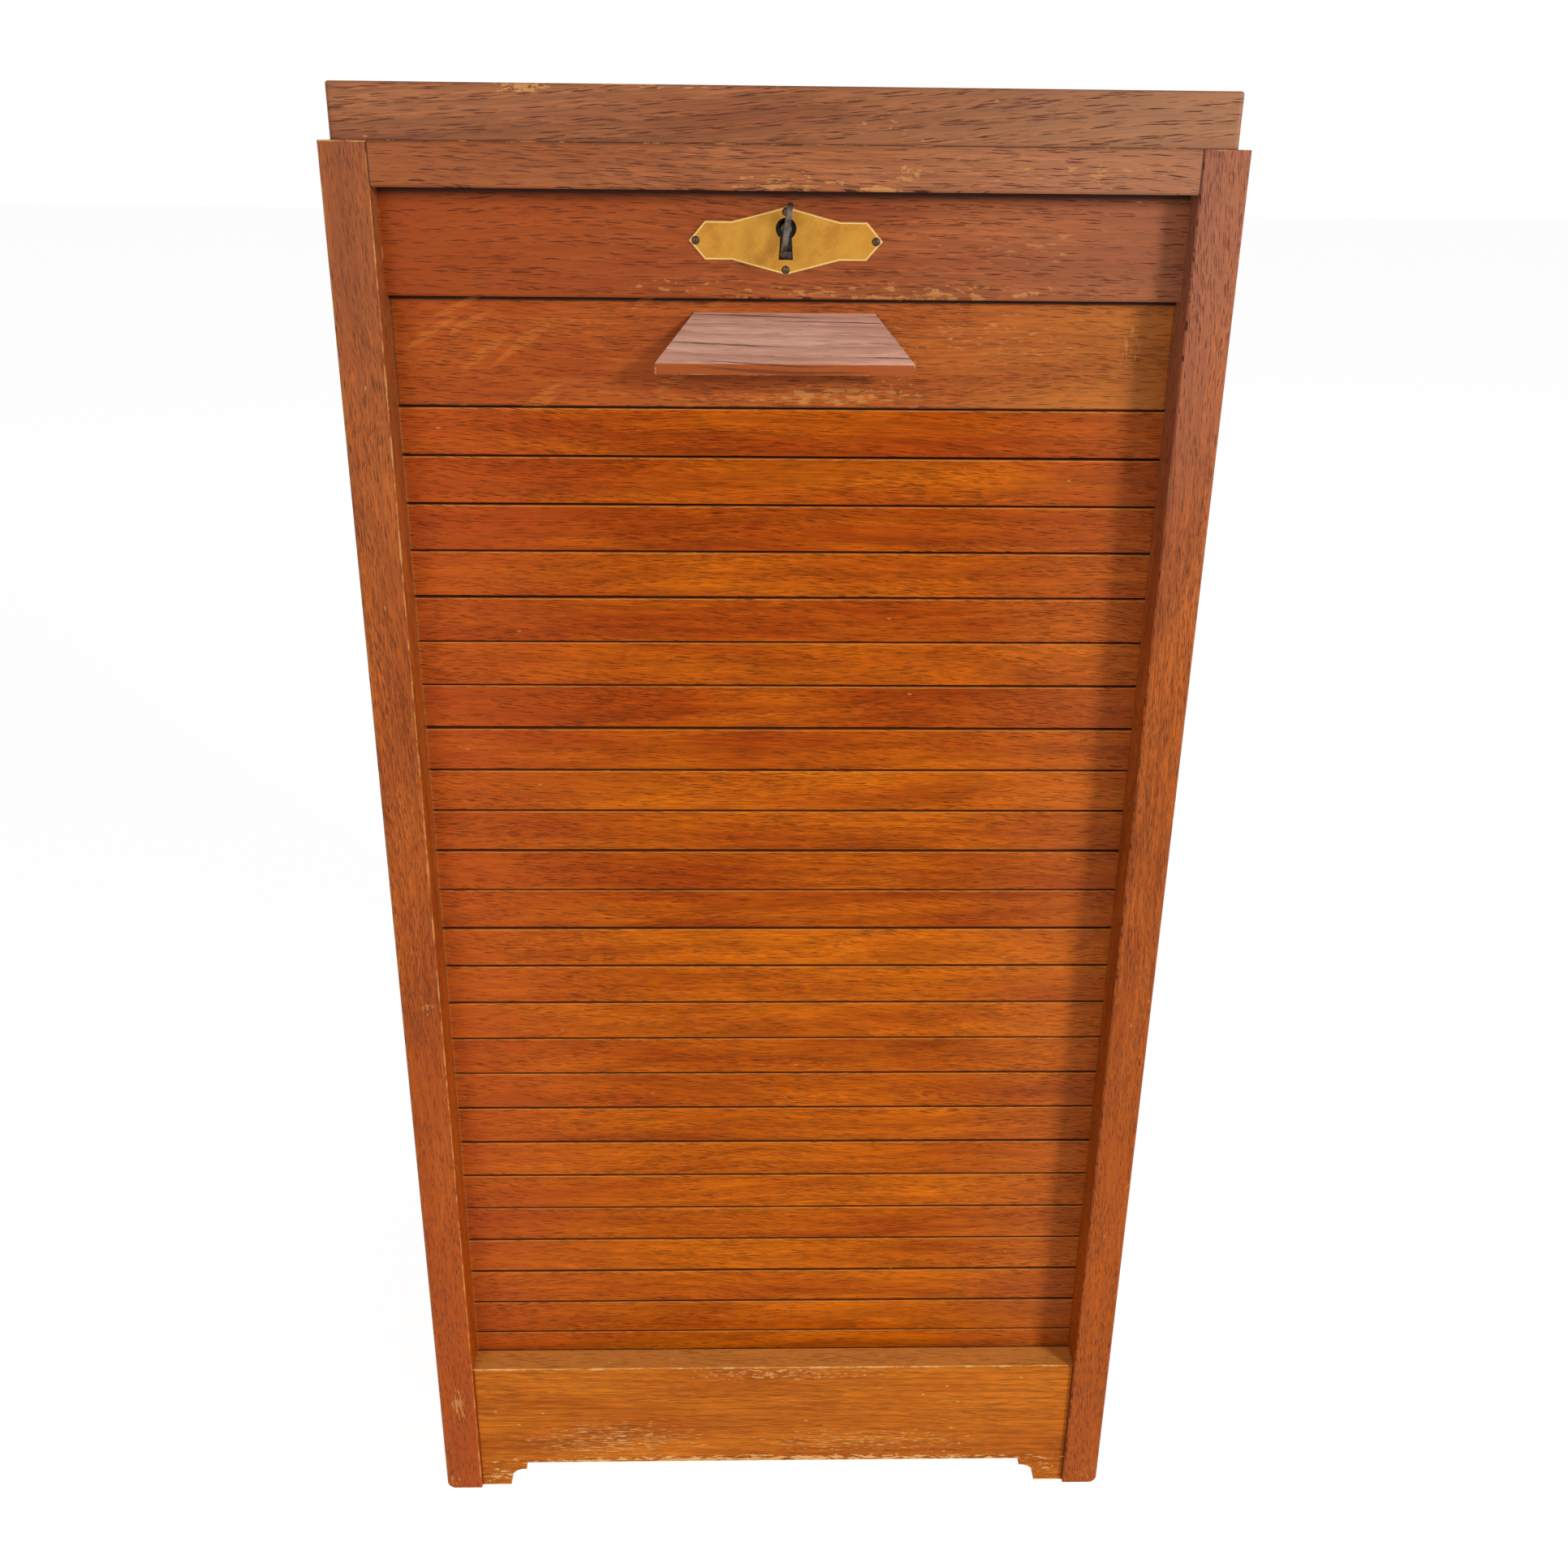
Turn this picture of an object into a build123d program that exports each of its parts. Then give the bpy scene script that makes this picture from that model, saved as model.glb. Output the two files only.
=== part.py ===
from build123d import *
from math import cos, radians, sin
import os

# Tambour filing cabinet in oak: a frame of four posts, a curtain of slats that
# slides down in grooves, a fixed lock panel above it, and fixed shelves inside.
# Millimetres, +Z up, the front faces -Y. The origin is on the floor, under the
# middle of the whole outline, with the key that stands out in front.

# Case
case_width = 500.0
case_depth = 400.0
frame_height = 958.0
floor_gap = 22.0
arris = 1.0
overrun = 5.0

# Posts
post_width = 26.0
post_depth = 45.0
post_foot_radius = 6.0

# Mortise and tenon joints
tenon_length = 16.0
tenon_thickness_share = 0.45
tenon_height_share = 0.6

# Front rail and lock panel
front_rail_height = 23.0
front_rail_thickness = 17.0
lock_panel_height = 57.5
lock_panel_thickness = 8.2
lock_panel_lap = 14.0

# Plinth with bracket feet
plinth_height = 113.5
plinth_thickness = 20.8
plinth_recess = 4.0
foot_width = 22.0
foot_edge = 4.5
cove_radius = 11.0
nose_width = 1.5

# Side frames and rear frame
frame_reveal = 1.0
side_rail_thickness = 9.0
side_panel_thickness = 5.0
rear_rail_thickness = 18.0
back_panel_thickness = 5.0
upper_rail_height = 75.0
panel_tongue = 8.0

# Top board
top_thickness = 29.0
top_inset = 5.5
top_edge_radius = 2.5
top_tenon_thickness = 8.0
top_tenon_width = 16.0
top_tenon_length = 30.0

# Curtain of slats and its track
slat_recess = 26.5
slat_thickness = 8.0
slat_pitch = 28.6
slat_gap = 0.6
slat_edge_radius = 1.3
track_depth = 9.0
track_clearance = 0.5
slat_end_clearance = 1.0
track_run_height = 38.0
track_bend_radius = 50.0
track_rear_height = 430.0
canvas_thickness = 0.8
canvas_margin = 12.0

# Lead board of the curtain
lead_visible_height = 62.0
lead_lap = 14.5
lead_thickness = 14.0
lead_proud = 0.7
lead_side_clearance = 0.8
canvas_lap = 22.0

# Wooden pull on the lead board
handle_rise = 54.0
handle_drop = 25.5
handle_reach = 25.0
handle_lip = 6.5
handle_lip_depth = 6.0
handle_back_width = 104.0
handle_front_width = 148.0
handle_arris = 0.8
handle_screw_spacing = 60.0
handle_screw_bite = 5.0
wood_screw_diameter = 3.5
wood_screw_head = 7.0
countersink_angle = 45.0

# Inside
board_thickness = 8.0
shelf_count = 9
shelf_setback = 12.0
shelf_clearance = 0.5
batten_width = 10.0
batten_height = 10.0
inner_back_thickness = 5.0
inner_back_gap = 3.5
bottom_board_thickness = 4.0

# Brass escutcheon
escutcheon_length = 108.4
escutcheon_height = 36.2
escutcheon_end_height = 20.8
escutcheon_shoulder = 9.2
escutcheon_waist = 60.0
escutcheon_thickness = 1.2
escutcheon_bevel = 0.5
pin_head_diameter = 4.6
pin_head_height = 1.6
pin_shank_diameter = 1.6
pin_length = 6.0
pin_margin_x = 4.0
pin_margin_z = 2.8
pin_dome_share = 0.75

# Keyhole
key_rise = 37.5
keyhole_offset = 6.5
keyhole_diameter = 11.5
keyhole_reach = 16.5
keyhole_slot_top = 5.8
keyhole_slot_bottom = 8.1

# Rim lock on the back of the lock panel
lock_plate_thickness = 1.5
lock_plate_ear = 9.0
lock_wall = 1.5
lock_case_width = 74.0
lock_case_depth = 13.5
lock_case_gap = 3.5
lock_screw_head = 6.0
lock_screw_head_height = 1.6
lock_screw_diameter = 3.0
lock_screw_length = 6.0
slide_clearance = 0.3
bolt_length = 38.0
bolt_width = 3.0
bolt_height = 4.5
bolt_throw = 10.0
bolt_end_clearance = 2.5

# Staple on the lead board, which the bolt passes through
staple_base_length = 24.0
staple_base_width = 11.0
staple_thickness = 1.5
staple_loop_width = 8.0
staple_loop_thickness = 2.0
staple_rim = 2.0
staple_clearance = 1.0
staple_screw_head = 4.5
staple_screw_head_height = 1.0
staple_screw_diameter = 2.4
staple_screw_length = 10.0

# Key
key_diameter = 6.0
key_tip_diameter = 4.0
key_neck = 3.8
key_bow_height = 28.6
key_bow_depth = 22.0
key_bow_rim = 4.6
key_bow_thickness = 2.8
key_bit_width = 6.0
key_bit_thickness = 2.2
key_bit_clearance = 0.6
key_turn_at_rest = 8.0

# Places that follow from the sizes
key_reach = escutcheon_thickness + key_neck + key_bow_depth - front_rail_thickness
front_y = -(case_depth - key_reach) / 2
rear_y = front_y + case_depth
inner_x = case_width / 2 - post_width
inner_front_y = front_y + post_depth
inner_rear_y = rear_y - post_depth
rail_bottom_z = frame_height - front_rail_height
lock_panel_front_y = front_y + front_rail_thickness
lock_panel_back_y = lock_panel_front_y + lock_panel_thickness
lock_panel_bottom_z = rail_bottom_z - lock_panel_height
lead_bottom_z = lock_panel_bottom_z - lead_visible_height
lead_top_z = lock_panel_bottom_z + lead_lap
slat_front_y = front_y + slat_recess
slat_back_y = slat_front_y + slat_thickness
track_front_y = slat_front_y + slat_thickness / 2
track_rear_y = rear_y - slat_recess - slat_thickness / 2
track_width = slat_thickness + 2 * track_clearance
track_top_z = lead_top_z + slat_end_clearance
track_bend_z = track_run_height + track_bend_radius
slat_length = 2 * (inner_x + track_depth - slat_end_clearance)
slat_height = slat_pitch - slat_gap
slat_count = int((lead_bottom_z - track_bend_z) // slat_pitch)
curtain_end_z = lead_bottom_z - slat_count * slat_pitch
track_board_thickness = post_width - frame_reveal - side_rail_thickness
side_rail_x = case_width / 2 - frame_reveal - side_rail_thickness / 2
rear_rail_y = rear_y - frame_reveal - rear_rail_thickness / 2
lower_rail_height = plinth_height - floor_gap
side_length = inner_rear_y - inner_front_y
middle_y = (inner_front_y + inner_rear_y) / 2
upper_rail_z = frame_height - upper_rail_height / 2
lower_rail_z = floor_gap + lower_rail_height / 2
panel_height = frame_height - upper_rail_height - plinth_height
panel_z = plinth_height + panel_height / 2
inner_back_y = track_rear_y - track_width / 2 - inner_back_gap
shelf_front_y = inner_front_y + shelf_setback
shelf_depth = inner_back_y - inner_back_thickness - shelf_front_y
shelf_spacing = (lock_panel_bottom_z - plinth_height) / (shelf_count + 1)
lead_front_y = slat_front_y - lead_proud
lead_back_y = lead_front_y + lead_thickness
handle_top_z = lead_bottom_z + handle_rise
handle_screw_z = handle_top_z - handle_drop / 3
key_z = lock_panel_bottom_z + key_rise
escutcheon_z = key_z - keyhole_offset
escutcheon_front_y = lock_panel_front_y - escutcheon_thickness
lock_plate_back_y = lock_panel_back_y + lock_plate_thickness
lock_case_back_y = lock_plate_back_y + lock_case_depth
lock_case_bottom_z = lead_top_z + lock_case_gap
bolt_bottom_z = lock_case_bottom_z + lock_wall + slide_clearance
bolt_top_z = bolt_bottom_z + bolt_height
bolt_y = lock_plate_back_y + (lock_case_depth - lock_wall) / 2
key_bit_reach = key_z - bolt_top_z - key_bit_clearance
lock_case_top_z = key_z + key_bit_reach + key_bit_clearance + lock_wall
lock_case_height = lock_case_top_z - lock_case_bottom_z
lock_case_z = lock_case_bottom_z + lock_case_height / 2
lock_plate_width = lock_case_width + 2 * lock_plate_ear
bolt_right_x = (lock_case_width / 2 - lock_wall - bolt_throw) - bolt_end_clearance
staple_x = bolt_right_x + bolt_end_clearance + staple_loop_thickness / 2
lock_screw_spacing_x = lock_case_width + lock_plate_ear

os.makedirs("parts", exist_ok=True)


def write(piece, label):
    """Labels a finished piece and writes it as its own STEP file."""
    piece.label = label
    export_step(piece, f"parts/{label}.step")


def facing(y, z):
    """A plane that faces the front at y and z: its x is X and its y is Z."""
    return Plane(origin=(0, y, z), x_dir=(1, 0, 0), z_dir=(0, -1, 0))


def along_depth(x, y, z):
    """A plane with its x along Y, for a piece that runs from front to rear."""
    return Plane(origin=(x, y, z), x_dir=(0, 1, 0), z_dir=(0, 0, 1))


def along_width(y, z):
    """A plane with its x along X, for a piece that runs across the cabinet."""
    return Plane(origin=(0, y, z), x_dir=(1, 0, 0), z_dir=(0, 0, 1))


def eased_board(middle, length, thickness, height):
    """A board about the origin of a plane, with its arrises along x eased."""
    with BuildPart(middle) as piece:
        Box(length, thickness, height)
        chamfer(piece.edges().filter_by(Axis(middle.origin, middle.x_dir)), arris)
    return piece.part


def tenoned_rail(middle, length, thickness, height, panel=None):
    """A rail with a tenon at each end, grooved for the panel that it holds."""
    with BuildPart() as rail:
        with Locations(middle):
            Box(length, thickness, height)
        chamfer(rail.edges().filter_by(Axis(middle.origin, middle.x_dir)), arris)
        with Locations(middle):
            Box(
                length + 2 * tenon_length,
                thickness * tenon_thickness_share,
                height * tenon_height_share,
            )
        if panel is not None:
            add(panel, mode=Mode.SUBTRACT)
    return rail.part


# The groove that the curtain runs in: down the front, under the floor, up the rear.
# It spans both sides at once, and is cut from every piece that it meets.
with BuildPart() as track_groove:
    with BuildSketch(Plane.YZ.offset(-inner_x - track_depth)):
        with BuildLine():
            FilletPolyline(
                (track_front_y, track_top_z),
                (track_front_y, track_run_height),
                (track_rear_y, track_run_height),
                (track_rear_y, track_rear_height),
                radius=track_bend_radius,
            )
        trace(line_width=track_width)
    extrude(amount=2 * (inner_x + track_depth))

# Thin panels that float in the grooves of the side frames and the rear frame
side_panels = {}
for side, sign in (("left", -1), ("right", 1)):
    with BuildPart(along_depth(sign * side_rail_x, middle_y, panel_z)) as side_panel:
        Box(side_length + 2 * panel_tongue, side_panel_thickness, panel_height + 2 * panel_tongue)
    side_panels[side] = side_panel.part
    write(side_panel.part, f"{side}_side_panel")

with BuildPart(along_width(rear_rail_y, panel_z)) as back_panel:
    Box(
        2 * (inner_x + panel_tongue),
        back_panel_thickness,
        panel_height + 2 * panel_tongue,
    )
write(back_panel.part, "back_panel")

# Rails of the frames
rails = []
for name, z, height in (
    ("top", upper_rail_z, upper_rail_height),
    ("bottom", lower_rail_z, lower_rail_height),
):
    for side, sign in (("left", -1), ("right", 1)):
        side_rail = tenoned_rail(
            along_depth(sign * side_rail_x, middle_y, z),
            side_length,
            side_rail_thickness,
            height,
            side_panels[side],
        )
        rails.append(side_rail)
        write(side_rail, f"{side}_side_{name}_rail")
    rear_rail = tenoned_rail(
        along_width(rear_rail_y, z), 2 * inner_x, rear_rail_thickness, height, back_panel.part
    )
    rails.append(rear_rail)
    write(rear_rail, f"rear_{name}_rail")

front_top_rail = tenoned_rail(
    along_width(front_y + front_rail_thickness / 2, rail_bottom_z + front_rail_height / 2),
    2 * inner_x,
    front_rail_thickness,
    front_rail_height,
)
rails.append(front_top_rail)
write(front_top_rail, "front_top_rail")

# Plinth board with a bracket foot at each end: a nose, a cove and a straight foot
foot_x = inner_x - foot_width
cove_x = foot_x - cove_radius
nose_x = cove_x - nose_width
cove_z = foot_edge + cove_radius
with BuildPart() as plinth:
    with BuildSketch(facing(front_y + plinth_recess + plinth_thickness, 0)):
        with BuildLine():
            Polyline(
                (0, floor_gap),
                (nose_x, floor_gap),
                (nose_x, cove_z),
                (cove_x, cove_z),
            )
            CenterArc((cove_x, foot_edge), cove_radius, 0, 90)
            Polyline(
                (foot_x, foot_edge),
                (foot_x, 0),
                (inner_x, 0),
                (inner_x, plinth_height),
                (0, plinth_height),
            )
            mirror(about=Plane.YZ)
        make_face()
    extrude(amount=plinth_thickness)
    chamfer(plinth.edges().filter_by(Axis.X).group_by(Axis.Z)[-1], arris)
    with Locations((0, front_y + plinth_recess + plinth_thickness / 2, lower_rail_z)):
        Box(
            2 * (inner_x + tenon_length),
            plinth_thickness * tenon_thickness_share,
            lower_rail_height * tenon_height_share,
        )
rails.append(plinth.part)
write(plinth.part, "plinth")

# Loose tenons that hold the top board on the posts
with BuildPart() as top_tenons:
    with Locations((0, front_y + case_depth / 2, frame_height)):
        with GridLocations(case_width - post_width, case_depth - post_depth, 2, 2):
            Box(top_tenon_thickness, top_tenon_width, top_tenon_length)
write(top_tenons.part, "top_tenons")

# Corner posts, mortised by the rails and grooved by the panels and the curtain track
for place, y in (("front", front_y + post_depth / 2), ("rear", rear_y - post_depth / 2)):
    for side, sign in (("left", -1), ("right", 1)):
        with BuildPart() as post:
            with Locations((sign * (inner_x + post_width / 2), y, frame_height / 2)):
                Box(post_width, post_depth, frame_height)
            foot = post.faces().sort_by(Axis.Z)[0].edges().filter_by(Axis.Y)
            fillet(foot.sort_by(Axis.X, reverse=sign > 0)[0], post_foot_radius)
            chamfer(post.edges().filter_by(Axis.Z), arris)
            add(track_groove.part, mode=Mode.SUBTRACT)
            add(rails, mode=Mode.SUBTRACT)
            add(top_tenons.part, mode=Mode.SUBTRACT)
            add(side_panels[side], mode=Mode.SUBTRACT)
            add(back_panel.part, mode=Mode.SUBTRACT)
        write(post.part, f"{side}_{place}_post")

# Track boards behind the side frames carry the bends of the groove and the battens
for side, sign in (("left", -1), ("right", 1)):
    board_x = sign * (inner_x + track_board_thickness / 2)
    with BuildPart() as track_board:
        with Locations((board_x, middle_y, floor_gap)):
            Box(
                track_board_thickness,
                side_length,
                frame_height - floor_gap,
                align=(Align.CENTER, Align.CENTER, Align.MIN),
            )
        add(track_groove.part, mode=Mode.SUBTRACT)
    write(track_board.part, f"{side}_track_board")

# Top board, set in from the frame on all sides
with BuildPart() as top_board:
    with Locations((0, front_y + case_depth / 2, frame_height)):
        Box(
            case_width - 2 * top_inset,
            case_depth - 2 * top_inset,
            top_thickness,
            align=(Align.CENTER, Align.CENTER, Align.MIN),
        )
    fillet(top_board.edges().filter_by(Axis.Z), top_edge_radius)
    chamfer(top_board.faces().sort_by(Axis.Z)[-1].edges(), arris)
    add(top_tenons.part, mode=Mode.SUBTRACT)
write(top_board.part, "top_board")

# Inner back, floor and bottom board
with BuildPart(Plane(origin=(0, inner_back_y, plinth_height - board_thickness))) as inner_back:
    Box(
        2 * inner_x,
        inner_back_thickness,
        frame_height - plinth_height + board_thickness,
        align=(Align.CENTER, Align.MAX, Align.MIN),
    )
write(inner_back.part, "inner_back")

with BuildPart(Plane(origin=(0, inner_front_y, plinth_height))) as inner_floor:
    Box(
        2 * inner_x,
        inner_back_y - inner_back_thickness - inner_front_y,
        board_thickness,
        align=(Align.CENTER, Align.MIN, Align.MAX),
    )
    chamfer(inner_floor.edges().filter_by(Axis.X).group_by(Axis.Y)[0], arris)
write(inner_floor.part, "inner_floor")

with BuildPart(Plane(origin=(0, middle_y, floor_gap))) as bottom_board:
    Box(
        2 * inner_x,
        side_length,
        bottom_board_thickness,
        align=(Align.CENTER, Align.CENTER, Align.MIN),
    )
write(bottom_board.part, "bottom_board")

# Shelves on battens
shelf_tops = [plinth_height + shelf_spacing * (index + 1) for index in range(shelf_count)]
for side, sign in (("left", -1), ("right", 1)):
    with BuildPart() as battens:
        for top in shelf_tops:
            middle_z = top - board_thickness - batten_height / 2
            with Locations((sign * (inner_x - batten_width / 2), shelf_front_y, middle_z)):
                Box(
                    batten_width,
                    shelf_depth,
                    batten_height,
                    align=(Align.CENTER, Align.MIN, Align.CENTER),
                )
    write(battens.part, f"{side}_shelf_battens")

for index, top in enumerate(shelf_tops):
    shelf = eased_board(
        along_width(shelf_front_y + shelf_depth / 2, top - board_thickness / 2),
        2 * (inner_x - shelf_clearance),
        shelf_depth,
        board_thickness,
    )
    write(shelf, f"shelf_{index + 1}")

# Keyhole, cut through the escutcheon, the lock panel and the lock plate
with BuildPart() as keyhole:
    with BuildSketch(facing(lock_plate_back_y + overrun, key_z)):
        Circle(keyhole_diameter / 2)
        Polygon(
            (-keyhole_slot_top / 2, 0),
            (keyhole_slot_top / 2, 0),
            (keyhole_slot_bottom / 2, -keyhole_reach),
            (-keyhole_slot_bottom / 2, -keyhole_reach),
            align=None,
        )
    extrude(amount=lock_plate_back_y - escutcheon_front_y + 2 * overrun)

# Pins of the escutcheon, with heads that taper towards a dome
pin_places = (
    (-escutcheon_length / 2 + pin_margin_x, 0),
    (escutcheon_length / 2 - pin_margin_x, 0),
    (0, escutcheon_height / 2 - pin_margin_z),
    (0, -escutcheon_height / 2 + pin_margin_z),
)
with BuildPart() as escutcheon_pins:
    with BuildSketch(facing(escutcheon_front_y, escutcheon_z)):
        with Locations(*pin_places):
            Circle(pin_head_diameter / 2)
    extrude(amount=pin_head_height)
    chamfer(
        escutcheon_pins.faces().group_by(Axis.Y)[0].edges(),
        pin_head_height * pin_dome_share,
    )
    with BuildSketch(facing(escutcheon_front_y, escutcheon_z)):
        with Locations(*pin_places):
            Circle(pin_shank_diameter / 2)
    extrude(amount=-pin_length)
write(escutcheon_pins.part, "escutcheon_pins")

# Brass escutcheon: pointed ends, straight shoulders and a point above and below
with BuildPart() as escutcheon:
    with BuildSketch(facing(lock_panel_front_y, escutcheon_z)):
        with BuildLine():
            Polyline(
                (0, escutcheon_height / 2),
                (escutcheon_waist / 2, escutcheon_end_height / 2),
                (escutcheon_length / 2 - escutcheon_shoulder, escutcheon_end_height / 2),
                (escutcheon_length / 2, 0),
            )
            mirror(about=Plane.YZ)
            mirror(about=Plane.XZ)
        make_face()
    extrude(amount=escutcheon_thickness)
    chamfer(escutcheon.faces().sort_by(Axis.Y)[0].edges(), escutcheon_bevel)
    add(keyhole.part, mode=Mode.SUBTRACT)
    add(escutcheon_pins.part, mode=Mode.SUBTRACT)
write(escutcheon.part, "escutcheon")

# Screws of the lock plate
with BuildPart() as lock_screws:
    with BuildSketch(facing(lock_plate_back_y, lock_case_z)):
        with GridLocations(lock_screw_spacing_x, 0, 2, 1):
            Circle(lock_screw_head / 2)
    extrude(amount=-lock_screw_head_height)
    with BuildSketch(facing(lock_plate_back_y, lock_case_z)):
        with GridLocations(lock_screw_spacing_x, 0, 2, 1):
            Circle(lock_screw_diameter / 2)
    extrude(amount=lock_screw_length)
write(lock_screws.part, "lock_screws")

with BuildPart() as lock_plate:
    with BuildSketch(facing(lock_plate_back_y, lock_case_z)):
        Rectangle(lock_plate_width, lock_case_height)
    extrude(amount=lock_plate_thickness)
    fillet(lock_plate.edges().filter_by(Axis.Y), lock_wall)
    add(keyhole.part, mode=Mode.SUBTRACT)
    add(lock_screws.part, mode=Mode.SUBTRACT)
write(lock_plate.part, "lock_plate")

# Fixed panel above the curtain, lapped behind the front rail
with BuildPart() as lock_panel:
    with BuildSketch(facing(lock_panel_back_y, lock_panel_bottom_z)):
        Rectangle(
            2 * inner_x,
            lock_panel_height + lock_panel_lap,
            align=(Align.CENTER, Align.MIN),
        )
    extrude(amount=lock_panel_thickness)
    chamfer(lock_panel.edges().filter_by(Axis.X).group_by(Axis.Z)[0], arris)
    add(keyhole.part, mode=Mode.SUBTRACT)
    add(escutcheon_pins.part, mode=Mode.SUBTRACT)
    add(lock_screws.part, mode=Mode.SUBTRACT)
write(lock_panel.part, "lock_panel")

# Lock case, open towards its plate, with a slot below for the staple
with BuildPart() as lock_case:
    with BuildSketch(facing(lock_case_back_y, lock_case_z)):
        Rectangle(lock_case_width, lock_case_height)
    extrude(amount=lock_case_depth)
    with BuildSketch(facing(lock_case_back_y - lock_wall, lock_case_z)):
        Rectangle(lock_case_width - 2 * lock_wall, lock_case_height - 2 * lock_wall)
    extrude(amount=lock_case_depth, mode=Mode.SUBTRACT)
    with BuildSketch(facing(lock_case_back_y + overrun, key_z)):
        Circle(key_tip_diameter / 2 + slide_clearance)
    extrude(amount=lock_wall + 2 * overrun, mode=Mode.SUBTRACT)
    with Locations((staple_x, bolt_y, lock_case_bottom_z)):
        Box(
            staple_loop_thickness + 2 * staple_clearance,
            staple_loop_width + 2 * staple_clearance,
            2 * lock_wall + slide_clearance,
            mode=Mode.SUBTRACT,
        )
write(lock_case.part, "lock_case")

# Bolt, drawn back at rest
with BuildPart(Plane(origin=(bolt_right_x, bolt_y, bolt_bottom_z))) as lock_bolt:
    Box(
        bolt_length,
        bolt_width,
        bolt_height,
        align=(Align.MAX, Align.CENTER, Align.MIN),
    )
    chamfer(lock_bolt.faces().sort_by(Axis.X)[-1].edges(), slide_clearance)
write(lock_bolt.part, "lock_bolt")

# Key: an oval bow seen edge on, a round shank, a thinner tip and a bit
key_turn = radians(key_turn_at_rest)
key_side = Plane(
    origin=(0, escutcheon_front_y, key_z),
    x_dir=(0, 1, 0),
    z_dir=(cos(key_turn), 0, -sin(key_turn)),
)
key_start_y = escutcheon_front_y - key_neck - key_bow_rim / 2
key_shoulder_y = lock_case_back_y - lock_wall - slide_clearance
with BuildPart() as key:
    with BuildSketch(key_side):
        with Locations((-key_neck - key_bow_depth / 2, 0)):
            Ellipse(key_bow_depth / 2, key_bow_height / 2)
            Ellipse(
                key_bow_depth / 2 - key_bow_rim,
                key_bow_height / 2 - key_bow_rim,
                mode=Mode.SUBTRACT,
            )
    extrude(amount=key_bow_thickness / 2, both=True)
    with BuildSketch(key_side):
        with Locations((bolt_y - escutcheon_front_y, 0)):
            Rectangle(key_bit_width, key_bit_reach, align=(Align.CENTER, Align.MAX))
    extrude(amount=key_bit_thickness / 2, both=True)
    with BuildSketch(facing(key_start_y, key_z)):
        Circle(key_diameter / 2)
    extrude(amount=key_start_y - key_shoulder_y)
    with BuildSketch(facing(key_shoulder_y, key_z)):
        Circle(key_tip_diameter / 2)
    extrude(amount=key_shoulder_y - lock_case_back_y)
write(key.part, "key")

# Screws of the pull, countersunk in the back of the lead board
with BuildPart() as handle_screws:
    with BuildSketch(facing(lead_back_y, handle_screw_z)):
        with GridLocations(handle_screw_spacing, 0, 2, 1):
            Circle(wood_screw_head / 2)
    extrude(amount=(wood_screw_head - wood_screw_diameter) / 2, taper=countersink_angle)
    with BuildSketch(facing(lead_back_y, handle_screw_z)):
        with GridLocations(handle_screw_spacing, 0, 2, 1):
            Circle(wood_screw_diameter / 2)
    extrude(amount=lead_thickness + handle_screw_bite)
write(handle_screws.part, "handle_screws")

# Staple on the top edge of the lead board
staple_bottom_z = lead_top_z + staple_thickness
staple_top_z = bolt_top_z + slide_clearance + staple_rim
staple_screw_spacing = staple_base_length - 2 * staple_screw_head
with BuildPart() as lock_staple:
    with Locations((staple_x, bolt_y, lead_top_z)):
        Box(
            staple_base_length,
            staple_base_width,
            staple_thickness,
            align=(Align.CENTER, Align.CENTER, Align.MIN),
        )
    with BuildSketch(Plane.YZ.offset(staple_x)):
        with Locations((bolt_y, staple_bottom_z)):
            Rectangle(
                staple_loop_width,
                staple_top_z - staple_bottom_z,
                align=(Align.CENTER, Align.MIN),
            )
        with Locations((bolt_y, bolt_bottom_z + bolt_height / 2)):
            Rectangle(
                bolt_width + 2 * slide_clearance,
                bolt_height + 2 * slide_clearance,
                mode=Mode.SUBTRACT,
            )
    extrude(amount=staple_loop_thickness / 2, both=True)
    with Locations((staple_x, bolt_y, staple_bottom_z)):
        with GridLocations(staple_screw_spacing, 0, 2, 1):
            Hole(staple_screw_diameter / 2)
write(lock_staple.part, "lock_staple")

with BuildPart() as staple_screws:
    with BuildSketch(Plane(origin=(staple_x, bolt_y, staple_bottom_z))):
        with GridLocations(staple_screw_spacing, 0, 2, 1):
            Circle(staple_screw_head / 2)
    extrude(amount=staple_screw_head_height)
    with BuildSketch(Plane(origin=(staple_x, bolt_y, staple_bottom_z))):
        with GridLocations(staple_screw_spacing, 0, 2, 1):
            Circle(staple_screw_diameter / 2)
    extrude(amount=-staple_screw_length)
write(staple_screws.part, "staple_screws")

# Lead board: tongues that run in the grooves, and a rebate behind for the canvas
lead_height = lead_top_z - lead_bottom_z
with BuildPart() as lead_board:
    with BuildSketch(facing(lead_back_y, lead_bottom_z)):
        Rectangle(
            2 * (inner_x - lead_side_clearance),
            lead_height,
            align=(Align.CENTER, Align.MIN),
        )
    extrude(amount=lead_thickness)
    chamfer(lead_board.edges().filter_by(Axis.X).group_by(Axis.Y)[0], arris)
    with BuildSketch(facing(slat_back_y, lead_bottom_z)):
        Rectangle(slat_length, lead_height, align=(Align.CENTER, Align.MIN))
    extrude(amount=slat_thickness)
    with BuildSketch(facing(lead_back_y, lead_bottom_z)):
        Rectangle(slat_length, canvas_lap, align=(Align.CENTER, Align.MIN))
    extrude(amount=lead_back_y - slat_back_y, mode=Mode.SUBTRACT)
    add(handle_screws.part, mode=Mode.SUBTRACT)
    add(staple_screws.part, mode=Mode.SUBTRACT)
write(lead_board.part, "lead_board")

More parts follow.
